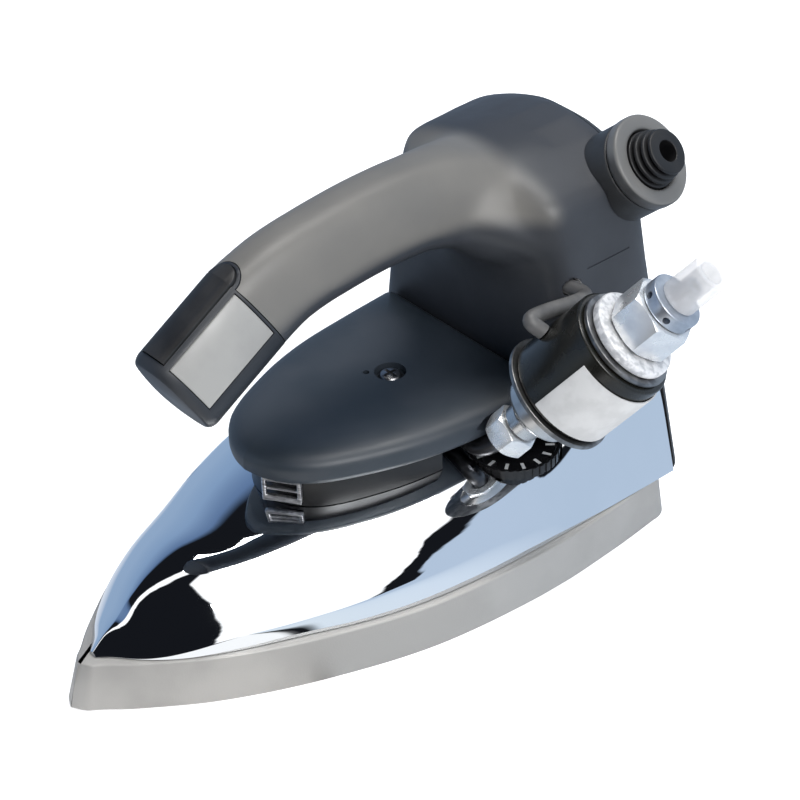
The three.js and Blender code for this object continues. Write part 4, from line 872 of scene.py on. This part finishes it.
flow_y, flow_reach, flow_low, flow_rise = 0.066, 0.022, 0.078, 0.012
moulding_voxel, first_fill, flow_rounds, last_fill, soft_rounds = 0.00105, 260, 110, 200, 9
flare_stations = [(0.044, 0.012, 0.12, 0.008), (0.052, 0.0192, 0.1182, 0.009), (0.058, 0.0258, 0.116, 0.01),
                  (0.063, 0.0314, 0.114, 0.011), (0.068, 0.0352, 0.112, 0.012), (0.074, 0.034, 0.112, 0.01)]
moulding = thing("moulding", tower_form(0, 0, 0))
carved(moulding, grip_form(0, over), way="UNION")
flare = []
for y, half, middle, tall in flare_stations:
    x, up = grip_section(half, tall, 0)
    flare.append(np.column_stack((x, np.full(len(x), y), middle + up)))
carved(moulding, thing("flare", skin(flare)), way="UNION")
voxels = moulding.modifiers.new("voxels", "REMESH")
voxels.mode = "VOXEL"
voxels.voxel_size = moulding_voxel
settled(moulding)
filled(moulding, first_fill)
flow = moulding.vertex_groups.new(name="flow")
for vertex in moulding.data.vertices:
    x, y, z = vertex.co
    weight = np.clip(1 - abs(y - flow_y) / flow_reach, 0, 1) * np.clip((z - flow_low) / flow_rise, 0, 1)
    flow.add([vertex.index], float(weight ** 0.5), "REPLACE")
softly(moulding, flow_rounds, "flow")
filled(moulding, last_fill)
softly(moulding, soft_rounds)
cover = thing("rear_cover_plate", moulding.data.copy())
cut_across(moulding, (0, tower_seam, 0), (0, 1, 0), True)
cut_across(moulding, (0, 0, tower_low), (0, 0, 1), False)
cut_across(moulding, (0, grip_seam_y, grip_seam_z), (0, -cos(grip_slope), -sin(grip_slope)), True)
moulding.name = "handle_moulding"
carved(moulding, hood_form(gap, over, over, 60, 40))
floor_low, floor_top, floor_rear, cavity_top = 0.0575, 0.0605, 0.098, 0.126
for low, high, front in ((floor_top, cavity_top, 0), (tower_low - over, floor_low, 0),
                         (floor_low, floor_top, floor_rear)):
    cavity = thing("cavity", tower_form(tower_wall, over, over))
    carved(cavity, box_mesh(-tower_half, tower_half, front, tower_rear + 2 * over, low - gap / 10,
                            high + gap / 10), way="INTERSECT")
    carved(moulding, cavity)
carved(moulding, grip_form(grip_wall, 2 * over))
gland_in, gland_forward, gland_down = 0.0194, 0.0042, 0.007
gland_place = Vector((tower_half - gland_in, tower_rear - gland_forward, tower_top - gland_down))
gland_way, gland_deep, gland_bore = Vector((0.739, 0.1945, 0.643)), 0.024, 0.0072
gland_run = (gland_place - gland_deep * gland_way, gland_place + over * gland_way)
screw_x, screw_z, cover_screw_long = 0.024, 0.084, 0.013
cover_screw_radius, cover_head, cover_head_tall = 0.0015, 0.0032, 0.002
lead_hole, lead_hole_rear = 0.006, 0.076
carved(moulding, rod_mesh(*gland_run, gland_bore),
       box_mesh(-lead_hole, lead_hole, lead_hole_rear - lead_hole, lead_hole_rear, tower_low - over,
                floor_top + over),
       *(upright(x, rear_post_y, tower_low - over, floor_top + over, post_hole)
         for x in (rear_post_x, -rear_post_x)))
seam_x, seam_z, seam_deep, seam_wide = 0.0404, 0.1, 0.0005, 0.0005
seam_front, seam_rear = 0.079, 0.0975
carved(moulding, box_mesh(seam_x - seam_deep, tower_half, seam_front, seam_rear, seam_z, seam_z + seam_wide))
handle_black = finish("handle_plastic", (0.034, 0.038, 0.046), (0.026, 0.029, 0.036), 0.45,
                      grain=(22.0, 2600.0, 0.000015))
# Painted light over the handle: a lighter grey on the grip's faces turned up and sideways, as if lit from above,
# fading out at the housing's front. Below the flare's line the grip keeps its dark base as painted shade.
painted_sheen_over(handle_black, (0.15, 0.145, 0.135), {"Rear": 0.076, "Run": 0.012, "Patch Size": 45.0, "Low": 0.1215,
                                                "Low From": 0.036})
dress(moulding, handle_black, "handle_plastic", "handle")
cut_across(cover, (0, tower_seam + gap, 0), (0, -1, 0), True)
cover_black = finish("cover_plastic", (0.02, 0.021, 0.024), (0.027, 0.028, 0.03), 0.36,
                     grain=(30.0, 2600.0, 0.00001))
carved(cover, rod_mesh(*gland_run, gland_bore),
       *(rod_mesh((x, tower_seam, screw_z), (x, tower_rear + over, screw_z), cover_screw_radius + gap)
         for x in (screw_x, -screw_x)),
       *(rod_mesh((x, tower_rear - cover_head_tall, screw_z), (x, tower_rear + over, screw_z), cover_head + gap)
         for x in (screw_x, -screw_x)))
dress(cover, cover_black, "cover_plastic", "rear_cover")
seat_y = tower_rear - cover_head_tall + gap
cover_screw = cross_screw(cover_screw_radius, seat_y - tower_rear + cover_screw_long,
                          cover_head, tower_rear - seat_y)
screw_row("cover_screws", cover_screw, [(x, seat_y, screw_z) for x in (-screw_x, screw_x)], screw_steel,
          "screw_steel", "rear_cover_screw_1", "rear_cover_screw_2", turn=Matrix.Rotation(-pi / 2, 4, "X"))
screw_row("handle_pan_screws", cross_screw(pan_radius, floor_top - rear_pan_end, pan_head, pan_tall),
          [(x, rear_post_y, floor_top) for x in (rear_post_x, -rear_post_x)], screw_steel, "screw_steel",
          "handle_screw_1", "handle_screw_2")
paint(ceramic_white, "terminal_block")
brass = finish("terminal_brass", (0.6, 0.44, 0.2), (0.48, 0.33, 0.14), 0.3, 1.0,
               grain=(300.0, 2500.0, 0.00001))
paint(brass, "terminal_screw_1", "terminal_screw_2")
lead_rubber = finish("lead_rubber", (0.02, 0.02, 0.021), (0.034, 0.033, 0.032), 0.6,
                     grain=(120.0, 2000.0, 0.00002))
paint(lead_rubber, "supply_lead_1", "supply_lead_2", "switch_leads")

# Nose: a separate black cap closes the front of the grip. It frames a light plate on each side and
# the long thumb button on top. All of it is written in the nose's own frame, with Z forward.
nose_frame = Matrix.Translation((0, grip_seam_y, grip_seam_z)) @ Matrix.Rotation(pi / 2 + grip_slope, 4, "X")
nose_long, nose_round, nose_wall, nose_taper, nose_edge, bezel_wide = 0.0354, 0.0038, 0.0024, 0.14, 0.0003, 0.0013
stem_low, stem_z, stem_radius, button_edge = 0.0069, 0.017, 0.002, 0.0006
plate_front, plate_rear, plate_low, plate_high, plate_thick = 0.0314, 0.0014, -0.0054, 0.012, 0.0015
button_half, button_rear, button_front, button_low, button_high = 0.005, -0.005, 0.0312, 0.0103, 0.015
button_travel = 0.0022
button_floor = button_low - button_travel - gap


def nose_form(wall, back, lift=1.0):
    """The nose's outside, thinned by a wall, with its front edge rolled over."""
    rings = [(gap - back, 1)] + [(nose_long - nose_round * (1 - sin(a)) - wall, 1 - nose_taper * (1 - cos(a)))
                                 for a in np.linspace(0, pi / 2, 7)]
    skins = []
    for z, size in rings:
        x, y = grip_section((grip_half - wall) * size, (grip_high - wall) * size, grip_chin * size)
        skins.append(np.column_stack((x, y * lift, np.full(len(x), z))))
    return skin(skins)


def button_strip(clear, low, high):
    """A strip along the nose with a round rear end, grown all round by some clearance."""
    half = button_half + clear
    rear = button_rear + button_half
    turn = np.linspace(0, pi, 25)
    end = np.column_stack((half * np.cos(turn), rear - half * np.sin(turn)))
    plan = np.concatenate(([(half, button_front + clear)], end, [(-half, button_front + clear)]))
    return skin([np.column_stack((plan[:, 0], np.full(len(plan), y), plan[:, 1])) for y in (low, high)])


def plate_box(side, clear):
    inner = button_half + bezel_wide - clear
    x0, x1 = (inner, 2 * grip_half) if side > 0 else (-2 * grip_half, -inner)
    return box_mesh(x0, x1, plate_low - clear, plate_high + clear, plate_rear - clear, plate_front + clear)


cap = thing("nose_frame", nose_form(0, 0))
carved(cap, nose_form(nose_wall + 2 * gap, over))
for side in (1, -1):
    recess = thing("recess", plate_box(side, gap))
    carved(recess, nose_form(plate_thick + gap, over))
    carved(cap, recess)
placed(cap, nose_frame)
bezel = placed(thing("bezel", button_strip(bezel_wide, button_floor, button_high + over)), nose_frame)
carved(bezel, grip_form(0, over), way="INTERSECT")
carved(bezel, grip_form(grip_wall, 2 * over))
carved(cap, bezel, way="UNION")
carved(cap, placed(button_strip(gap, button_floor, button_high + over), nose_frame))
eased(cap, nose_edge)
carved(moulding, placed(button_strip(bezel_wide + gap, button_floor - gap,
                                                         button_high + over), nose_frame))
nose_black = finish("nose_plastic", (0.012, 0.015, 0.021), (0.018, 0.021, 0.027), 0.44,
                    grain=(40.0, 2800.0, 0.000006))
dress(cap, nose_black, "nose_plastic", "nose_cap")
panel_grey = finish("panel_plastic", (0.3, 0.3, 0.292), (0.265, 0.265, 0.26), 0.4,
                    grain=(50.0, 3500.0, 0.000008))
for name, side in (("panel_right", 1), ("panel_left", -1)):
    plate = thing(name + "_plate", nose_form(0, 0))
    carved(plate, plate_box(side, 0), way="INTERSECT")
    carved(plate, nose_form(plate_thick, over))
    placed(eased(plate, nose_edge), nose_frame)
    dress(plate, panel_grey, "panel_plastic", name)
button = placed(thing("thumb_button", button_strip(0, button_low, button_high)), nose_frame)
crown = placed(thing("crown", nose_form(0, over, button_high / grip_high)), nose_frame)
cut_across(crown, (0, grip_seam_y, grip_seam_z), (0, -cos(grip_slope), -sin(grip_slope)), False)
carved(crown, grip_form(grip_high - button_high, gap), way="UNION")
carved(button, crown, way="INTERSECT")
stem_hole = rod_mesh((0, stem_low, stem_z), (0, button_low + gap, stem_z), stem_radius, 24)
carved(button, placed(stem_hole, nose_frame),
       way="UNION")
eased(button, button_edge, 3)
button_black = finish("button_plastic", (0.013, 0.013, 0.014), (0.02, 0.02, 0.021), 0.36,
                      grain=(60.0, 2800.0, 0.000006))
dress(button, button_black, "button_plastic", "steam_button", body="button")
switch_case = finish("switch_case", (0.05, 0.05, 0.052), (0.07, 0.07, 0.072), 0.45,
                     grain=(90.0, 2500.0, 0.00001))
paint(switch_case, "microswitch")
paint(ceramic_white, "switch_plunger")
paint(screw_steel, "switch_screw_1", "switch_screw_2", "nose_screw")

# Cord entry: a moulded collar on the housing's corner, a smooth ring nut and a black rubber bushing
# with ribs. Its bore is open, because no cord shows.
def frame_along(origin, axis):
    """Frame at a place whose Z runs along an axis, with its X level."""
    z = Vector(axis).normalized()
    x = Vector((0, 0, 1)).cross(z).normalized()
    return Matrix.Translation(origin) @ Matrix((x, z.cross(x), z)).transposed().to_4x4()


gland_frame = frame_along(gland_place, gland_way)
collar_radius, collar_long = 0.0152, 0.015
nut_radius, nut_thick, nut_round, nut_bore = 0.0155, 0.0052, 0.0014, 0.01
collar_black = finish("collar_plastic", (0.028, 0.029, 0.031), (0.02, 0.021, 0.023), 0.42,
                      grain=(60.0, 2600.0, 0.00001))
ring_grey = finish("ring_plastic", (0.06, 0.061, 0.063), (0.04, 0.041, 0.043), 0.4,
                   grain=(80.0, 2600.0, 0.00001))
# Painted light over the ring nut: a lighter grey on its faces turned up and sideways, as if lit from above.
painted_sheen_over(ring_grey, (0.14, 0.14, 0.138))
bush_radius, bush_end, bush_long, bush_tail, cord_hole = 0.0096, 0.0074, 0.0128, 0.009, 0.0036
bush_ribs, rib_deep = 3, 0.0022
collar = turned("gland_sleeve", ring_profile(collar_radius, gland_bore, -collar_long, 0), gland_frame, 0.0008)
carved(collar, tower_form(-gap, 0, 0))
dress(collar, collar_black, "collar_plastic", "gland_collar")
gland_nut = turned("gland_ring", ring_profile(nut_radius, nut_bore, gap, nut_thick), gland_frame, nut_round)
dress(gland_nut, ring_grey, "collar_plastic", "gland_nut")
rib_profile = [(cord_hole, -bush_tail), (gland_bore - gap, -bush_tail), (gland_bore - gap, gap),
               (bush_radius, gap), (bush_radius, nut_thick)]
for rib in range(bush_ribs):
    for share, deep in ((0.06, rib_deep), (0.44, rib_deep), (0.5, 0), (0.94, 0)):
        place = (rib + share) / bush_ribs
        rib_profile.append((bush_radius + (bush_end - bush_radius) * place - deep,
                            nut_thick + (bush_long - nut_thick) * place))
rib_profile.append((cord_hole, bush_long))
bushing = turned("ribbed_bushing", rib_profile, gland_frame, 0.0005)
bushing_black = finish("bushing_rubber", (0.004, 0.004, 0.005), (0.008, 0.008, 0.009), 0.46,
                       grain=(90.0, 3000.0, 0.00001))
dress(bushing, bushing_black, "bushing_rubber", "cord_bushing")

# Temperature dial: a thin black disc with a finger-gripped rim and plain white marks, over a round
# base that is let through the hood.
dial_place = Matrix.Translation((dial_x, dial_y, 0))
dial_top, dial_radius, dial_tall, dial_base_radius, dial_grips = 0.043, 0.0154, 0.0034, 0.011, 36
dial_low = dial_top - dial_tall
groove_block, mark_block = (0.0008, 0.0011, dial_tall * 3), (0.003, 0.0011, 0.0002)
mark_count, mark_share = 13, 0.78
dial_shaft, dial_rim, dial_dish = 0.003, 0.0012, 0.0005


def round_marks_tree():
    """Equal blocks round a circle, each turned to face out."""
    group, takes, leave = geometry_tree("round_marks", [
        ("Count", "Int"), ("Radius", "Float"), ("Block", "Vector"), ("Sweep", "Float", 2 * pi),
        ("Start", "Float")])
    row = node(group, "GeometryNodeMeshLine", {"Count": takes["Count"], "Offset": (0, 0, 0)})
    block = node(group, "GeometryNodeMeshCube", {"Size": takes["Block"]})
    step = sums(group, "DIVIDE", node(group, "GeometryNodeInputIndex").outputs[0], takes["Count"])
    angle = sums(group, "MULTIPLY_ADD", step, takes["Sweep"], takes["Start"])
    turn, out = (node(group, "ShaderNodeCombineXYZ", {key: value}).outputs[0]
                 for key, value in (("Z", angle), ("X", takes["Radius"])))
    place = node(group, "ShaderNodeVectorRotate", {"Vector": out, "Rotation": turn}, rotation_type="EULER_XYZ")
    points = node(group, "GeometryNodeSetPosition", {"Geometry": row.outputs[0], "Position": place.outputs[0]})
    stand = node(group, "GeometryNodeInstanceOnPoints", {
        "Points": points.outputs[0], "Instance": block.outputs[0], "Rotation": turn})
    return coated(group, takes, leave, stand.outputs[0])


round_marks = round_marks_tree()
dial_black = finish("dial_plastic", (0.006, 0.006, 0.007), (0.011, 0.011, 0.012), 0.2,
                    grain=(60.0, 2800.0, 0.00001))
dial_white = finish("dial_print", (0.75, 0.76, 0.76), (0.62, 0.63, 0.63), 0.5,
                    grain=(400.0, 3000.0, 0.000004))
dish_radius = dial_radius - dial_rim
disc = turned("dial_disc", [(0, dial_low), (dial_radius, dial_low), (dial_radius, dial_top),
                            (dish_radius, dial_top), (dish_radius - gap, dial_top - dial_dish),
                            (0, dial_top - dial_dish)], dial_place, 0.0002)
grooves = grown("grooves", None, round_marks, count=dial_grips, radius=dial_radius,
                block=groove_block)
placed(grooves, dial_place @ Matrix.Translation((0, 0, dial_low - dial_tall / 2)))
carved(disc, grooves, rod_mesh((dial_x, dial_y, dial_low - over), (dial_x, dial_y, dial_low + dial_tall * 0.6),
                               dial_shaft + gap))
dress(disc, dial_black, "dial_plastic", "thermostat_dial", body="dial")
marks = grown("dial_marks", None, round_marks, count=mark_count, radius=dial_radius * mark_share,
              block=mark_block, sweep=radians(325), start=radians(108), material=dial_white)
placed(marks, dial_place @ Matrix.Translation((0, 0, dial_top - dial_dish)))
dress(marks, dial_white, "dial_plastic", body="dial")
boss = ring_profile(dial_base_radius, dial_shaft + gap, thermostat_top + gap, dial_low - gap)
base = turned("dial_boss", boss,
              dial_place, 0.0006)
dress(base, dial_black, "dial_plastic", "dial_base")

# Water valve: a solenoid stack on its own axis, from the outlet nut up through the cast body, the
# flange, the potted coil with its blank label, the cap, the hex nut and the fitting to the hose.
valve_frame = frame_along(valve_place, valve_way)
outlet_radius, outlet_low, outlet_high = 0.0082, -0.026, -0.018
body_neck, body_wide, body_neck_top, body_rise, body_bore = 0.0066, 0.012, -0.0126, 0.0036, 0.0016
flange_radius, flange_thick, coil_radius, coil_top = 0.02, 0.0016, 0.0184, 0.031
rim_radius, rim_top, cap_radius, cap_top, tube_radius, tube_top = 0.0168, 0.033, 0.015, 0.0366, 0.006, 0.0372
end_radius, end_top, fitting_radius, fitting_top = 0.012, 0.0496, 0.0094, 0.055
barb_radius, barb_top, hex_chamfer, hex_corner = 0.0032, 0.063, 0.0011, 0.0018
hose_radius, hose_wall, hose_top, pipe_radius, water_hole = 0.0063, 0.0024, 0.07, 0.0032, 0.0017
tube_hole = tube_radius + gap
valve_turn = valve_frame.to_euler()


def hex_nut(name, radius, low, high, bore):
    """A hexagon nut with its corners turned down at both ends."""
    corners = [(radius * cos(pi * k / 3), radius * sin(pi * k / 3)) for k in range(6)]
    nut = thing(name, prism(np.array(corners), low, high))
    outer, inner = radius + gap, radius - hex_corner
    carved(nut, turned("chamfer", [(0, low - gap), (inner, low - gap), (outer, low + hex_chamfer),
                                   (outer, high - hex_chamfer), (inner, high + gap), (0, high + gap)],
                       Matrix(), 0), way="INTERSECT")
    carved(nut, upright(0, 0, low - over, high + over, bore))
    return placed(eased(nut, 0.0003, 2, 25), valve_frame)


nut_chrome = finish("nut_chrome", (0.86, 0.87, 0.87), (0.7, 0.72, 0.75), 0.26, 0.75,
                    grain=(120.0, 900.0, 0.00001))
valve_steel = finish("valve_metal", (0.6, 0.6, 0.6), (0.5, 0.5, 0.5), 0.24, 1.0,
                     turn=tuple(-a for a in valve_turn), grain=(80.0, 1500.0, 0.00001))
resin = finish("coil_resin", (0.006, 0.006, 0.005), (0.011, 0.011, 0.008), 0.24,
               grain=(70.0, 1500.0, 0.00001))
cap_white = finish("cap_white", (0.75, 0.75, 0.76), (0.46, 0.47, 0.49), 0.42, 0.25,
                   grain=(420.0, 900.0, 0.00004))
rim_steel = finish("valve_rim", (0.3, 0.3, 0.3), (0.16, 0.16, 0.165), 0.34, 1.0,
                   grain=(200.0, 1500.0, 0.00001))
for name, *sizes, stands_for in (
        ("outlet_hexagon", outlet_radius, outlet_low, outlet_high, pipe_radius + gap, "outlet_nut"),
        ("end_hexagon", end_radius, tube_top, end_top, water_hole, "valve_nut")):
    dress(hex_nut(name, *sizes), nut_chrome, "nut_chrome", stands_for, sharp=20)
casting = [(body_bore, outlet_high + gap), (body_neck, outlet_high + gap), (body_neck, body_neck_top),
           (body_wide, body_neck_top + body_rise), (body_wide, -gap), (body_bore, -gap)]
hose_ring = ring_profile(hose_radius, hose_radius - hose_wall, fitting_top + gap, hose_top)
hose_clear = finish("clear_hose", (0.66, 0.66, 0.68), (0.58, 0.59, 0.61), 0.35, grain=(90.0, 900.0, 0.00002),
                    plain={"IOR": 1.25, "Alpha": 0.46})
for name, profile, soft, material, slot, stands_for in (
        ("valve_casting", casting, 0.001, valve_steel, "valve_metal", "valve_body"),
        ("coil_plate", ring_profile(flange_radius, tube_hole, 0, flange_thick), 0.0003, rim_steel, "valve_rim",
         "coil_flange"),
        ("coil_potting", ring_profile(coil_radius, tube_hole, flange_thick + gap, coil_top - gap), 0.001, resin,
         "coil_resin", "coil_body"),
        ("coil_top_ring", ring_profile(rim_radius, tube_hole, coil_top, rim_top - gap), 0.0005, rim_steel,
         "valve_rim", "coil_rim"),
        ("coil_lid", ring_profile(cap_radius, tube_hole, rim_top, cap_top - gap), 0.0009, cap_white, "cap_white",
         "coil_cap"),
        ("hose_end", hose_ring, 0.0006, hose_clear, "clear_hose", "hose_stub")):
    dress(turned(name, profile, valve_frame, soft), material, slot, stands_for)
label_low, label_high, label_thick, label_from, label_sweep = 0.0036, 0.026, 0.0005, radians(156), radians(112)
arc = np.linspace(label_from, label_from + label_sweep, 49)
band = np.concatenate([r * np.column_stack((np.cos(way), np.sin(way))) for r, way in
                       ((coil_radius + gap + label_thick, arc), (coil_radius + gap, arc[::-1]))])
label = placed(thing("label_paper", prism(band, label_low, label_high)), valve_frame)
paper = finish("label_paper", (0.5, 0.505, 0.51), (0.44, 0.445, 0.45), 0.5, grain=(160.0, 1800.0, 0.00001))
dress(eased(label, 0.0001), paper, "label_paper", "coil_label")
paint(plain_steel, "armature_tube", "armature")
fitting = turned("hose_fitting", [(water_hole, end_top + gap), (fitting_radius, end_top + gap),
                                  (fitting_radius, fitting_top), (barb_radius, fitting_top),
                                  (barb_radius, barb_top), (water_hole, barb_top)], Matrix(), 0.0007)
fitting_hole, fitting_holes, fitting_deep = 0.0012, 6, 0.0032
for hole in range(fitting_holes):
    way = Vector((cos(2 * pi * hole / fitting_holes), sin(2 * pi * hole / fitting_holes), 0))
    middle = Vector((0, 0, (end_top + fitting_top) / 2))
    carved(fitting, rod_mesh(middle + way * (fitting_radius - fitting_deep),
                             middle + way * fitting_radius * 1.2,
                             fitting_hole, 24))
fitting_steel = finish("fitting_steel", (0.5, 0.54, 0.6), (0.38, 0.42, 0.48), 0.3, 0.85,
                       grain=(160.0, 1200.0, 0.00001))
dress(placed(fitting, valve_frame), fitting_steel, "valve_metal", "inlet_fitting")

# Pipe and sleeve: a bent steel pipe carries the water from the valve under the shield into the
# chamber, and a grey sleeve takes the coil's two wires into the side of the housing.
pipe_wall, pipe_run, pipe_turn = 0.001, 0.0502, 0.007
pipe_top, pipe_leave = (valve_frame @ Vector((0, 0, z - gap)) for z in (outlet_high, outlet_low))
pipe_route = curve_through([tuple(pipe_top), tuple(pipe_leave), (pipe_leave.x - pipe_turn, pipe_y, pipe_run),
                            (pipe_x + pipe_turn, pipe_y, pipe_run), (pipe_x, pipe_y, pipe_run - pipe_turn),
                            (pipe_x, pipe_y, sole_thick)], 72)
water_pipe = tube("water_tube", pipe_route, pipe_radius)
inside = np.vstack((pipe_route[0] + (pipe_route[0] - pipe_route[1]), pipe_route, pipe_route[-1] - (0, 0, over)))
carved(water_pipe, tube("bore", inside, pipe_radius - pipe_wall))
# The pipe's near-black steel is painted shade: it stands for the dark gap between the shield, the outlet nut and
# the dial.
shade_dark_pipe = finish("shade_dark_pipe", (0.12, 0.12, 0.125), (0.07, 0.07, 0.075), 0.3, 1.0,
                    grain=(120.0, 900.0, 0.00002))
dress(water_pipe, shade_dark_pipe, "plain_steel", "water_pipe", sharp=60)
sleeve_radius, sleeve_clear, sleeve_along, sleeve_reach = 0.0026, 0.0007, 0.014, 0.0054
house_x, house_y, house_z = 0.0411, 0.072, 0.096
sleeve_start = coil_radius + gap
sleeve_knots = [tuple(valve_frame @ Vector((0, out, sleeve_along)))
                for out in (sleeve_start, sleeve_start + sleeve_reach)]
sleeve_route = curve_through(sleeve_knots + [(house_x + 2 * sleeve_radius, house_y, house_z),
                                             (house_x - tower_wall - sleeve_radius, house_y, house_z)], 48)
carved(moulding, tube("sleeve_hole", sleeve_route, sleeve_radius + sleeve_clear))
sleeve_grey = finish("sleeve_grey", (0.07, 0.07, 0.072), (0.12, 0.12, 0.12), 0.45,
                     grain=(90.0, 1500.0, 0.00002))
dress(tube("lead_sleeve", sleeve_route, sleeve_radius, sleeve_grey), sleeve_grey, "sleeve_grey",
      "valve_lead_sleeve", sharp=60)
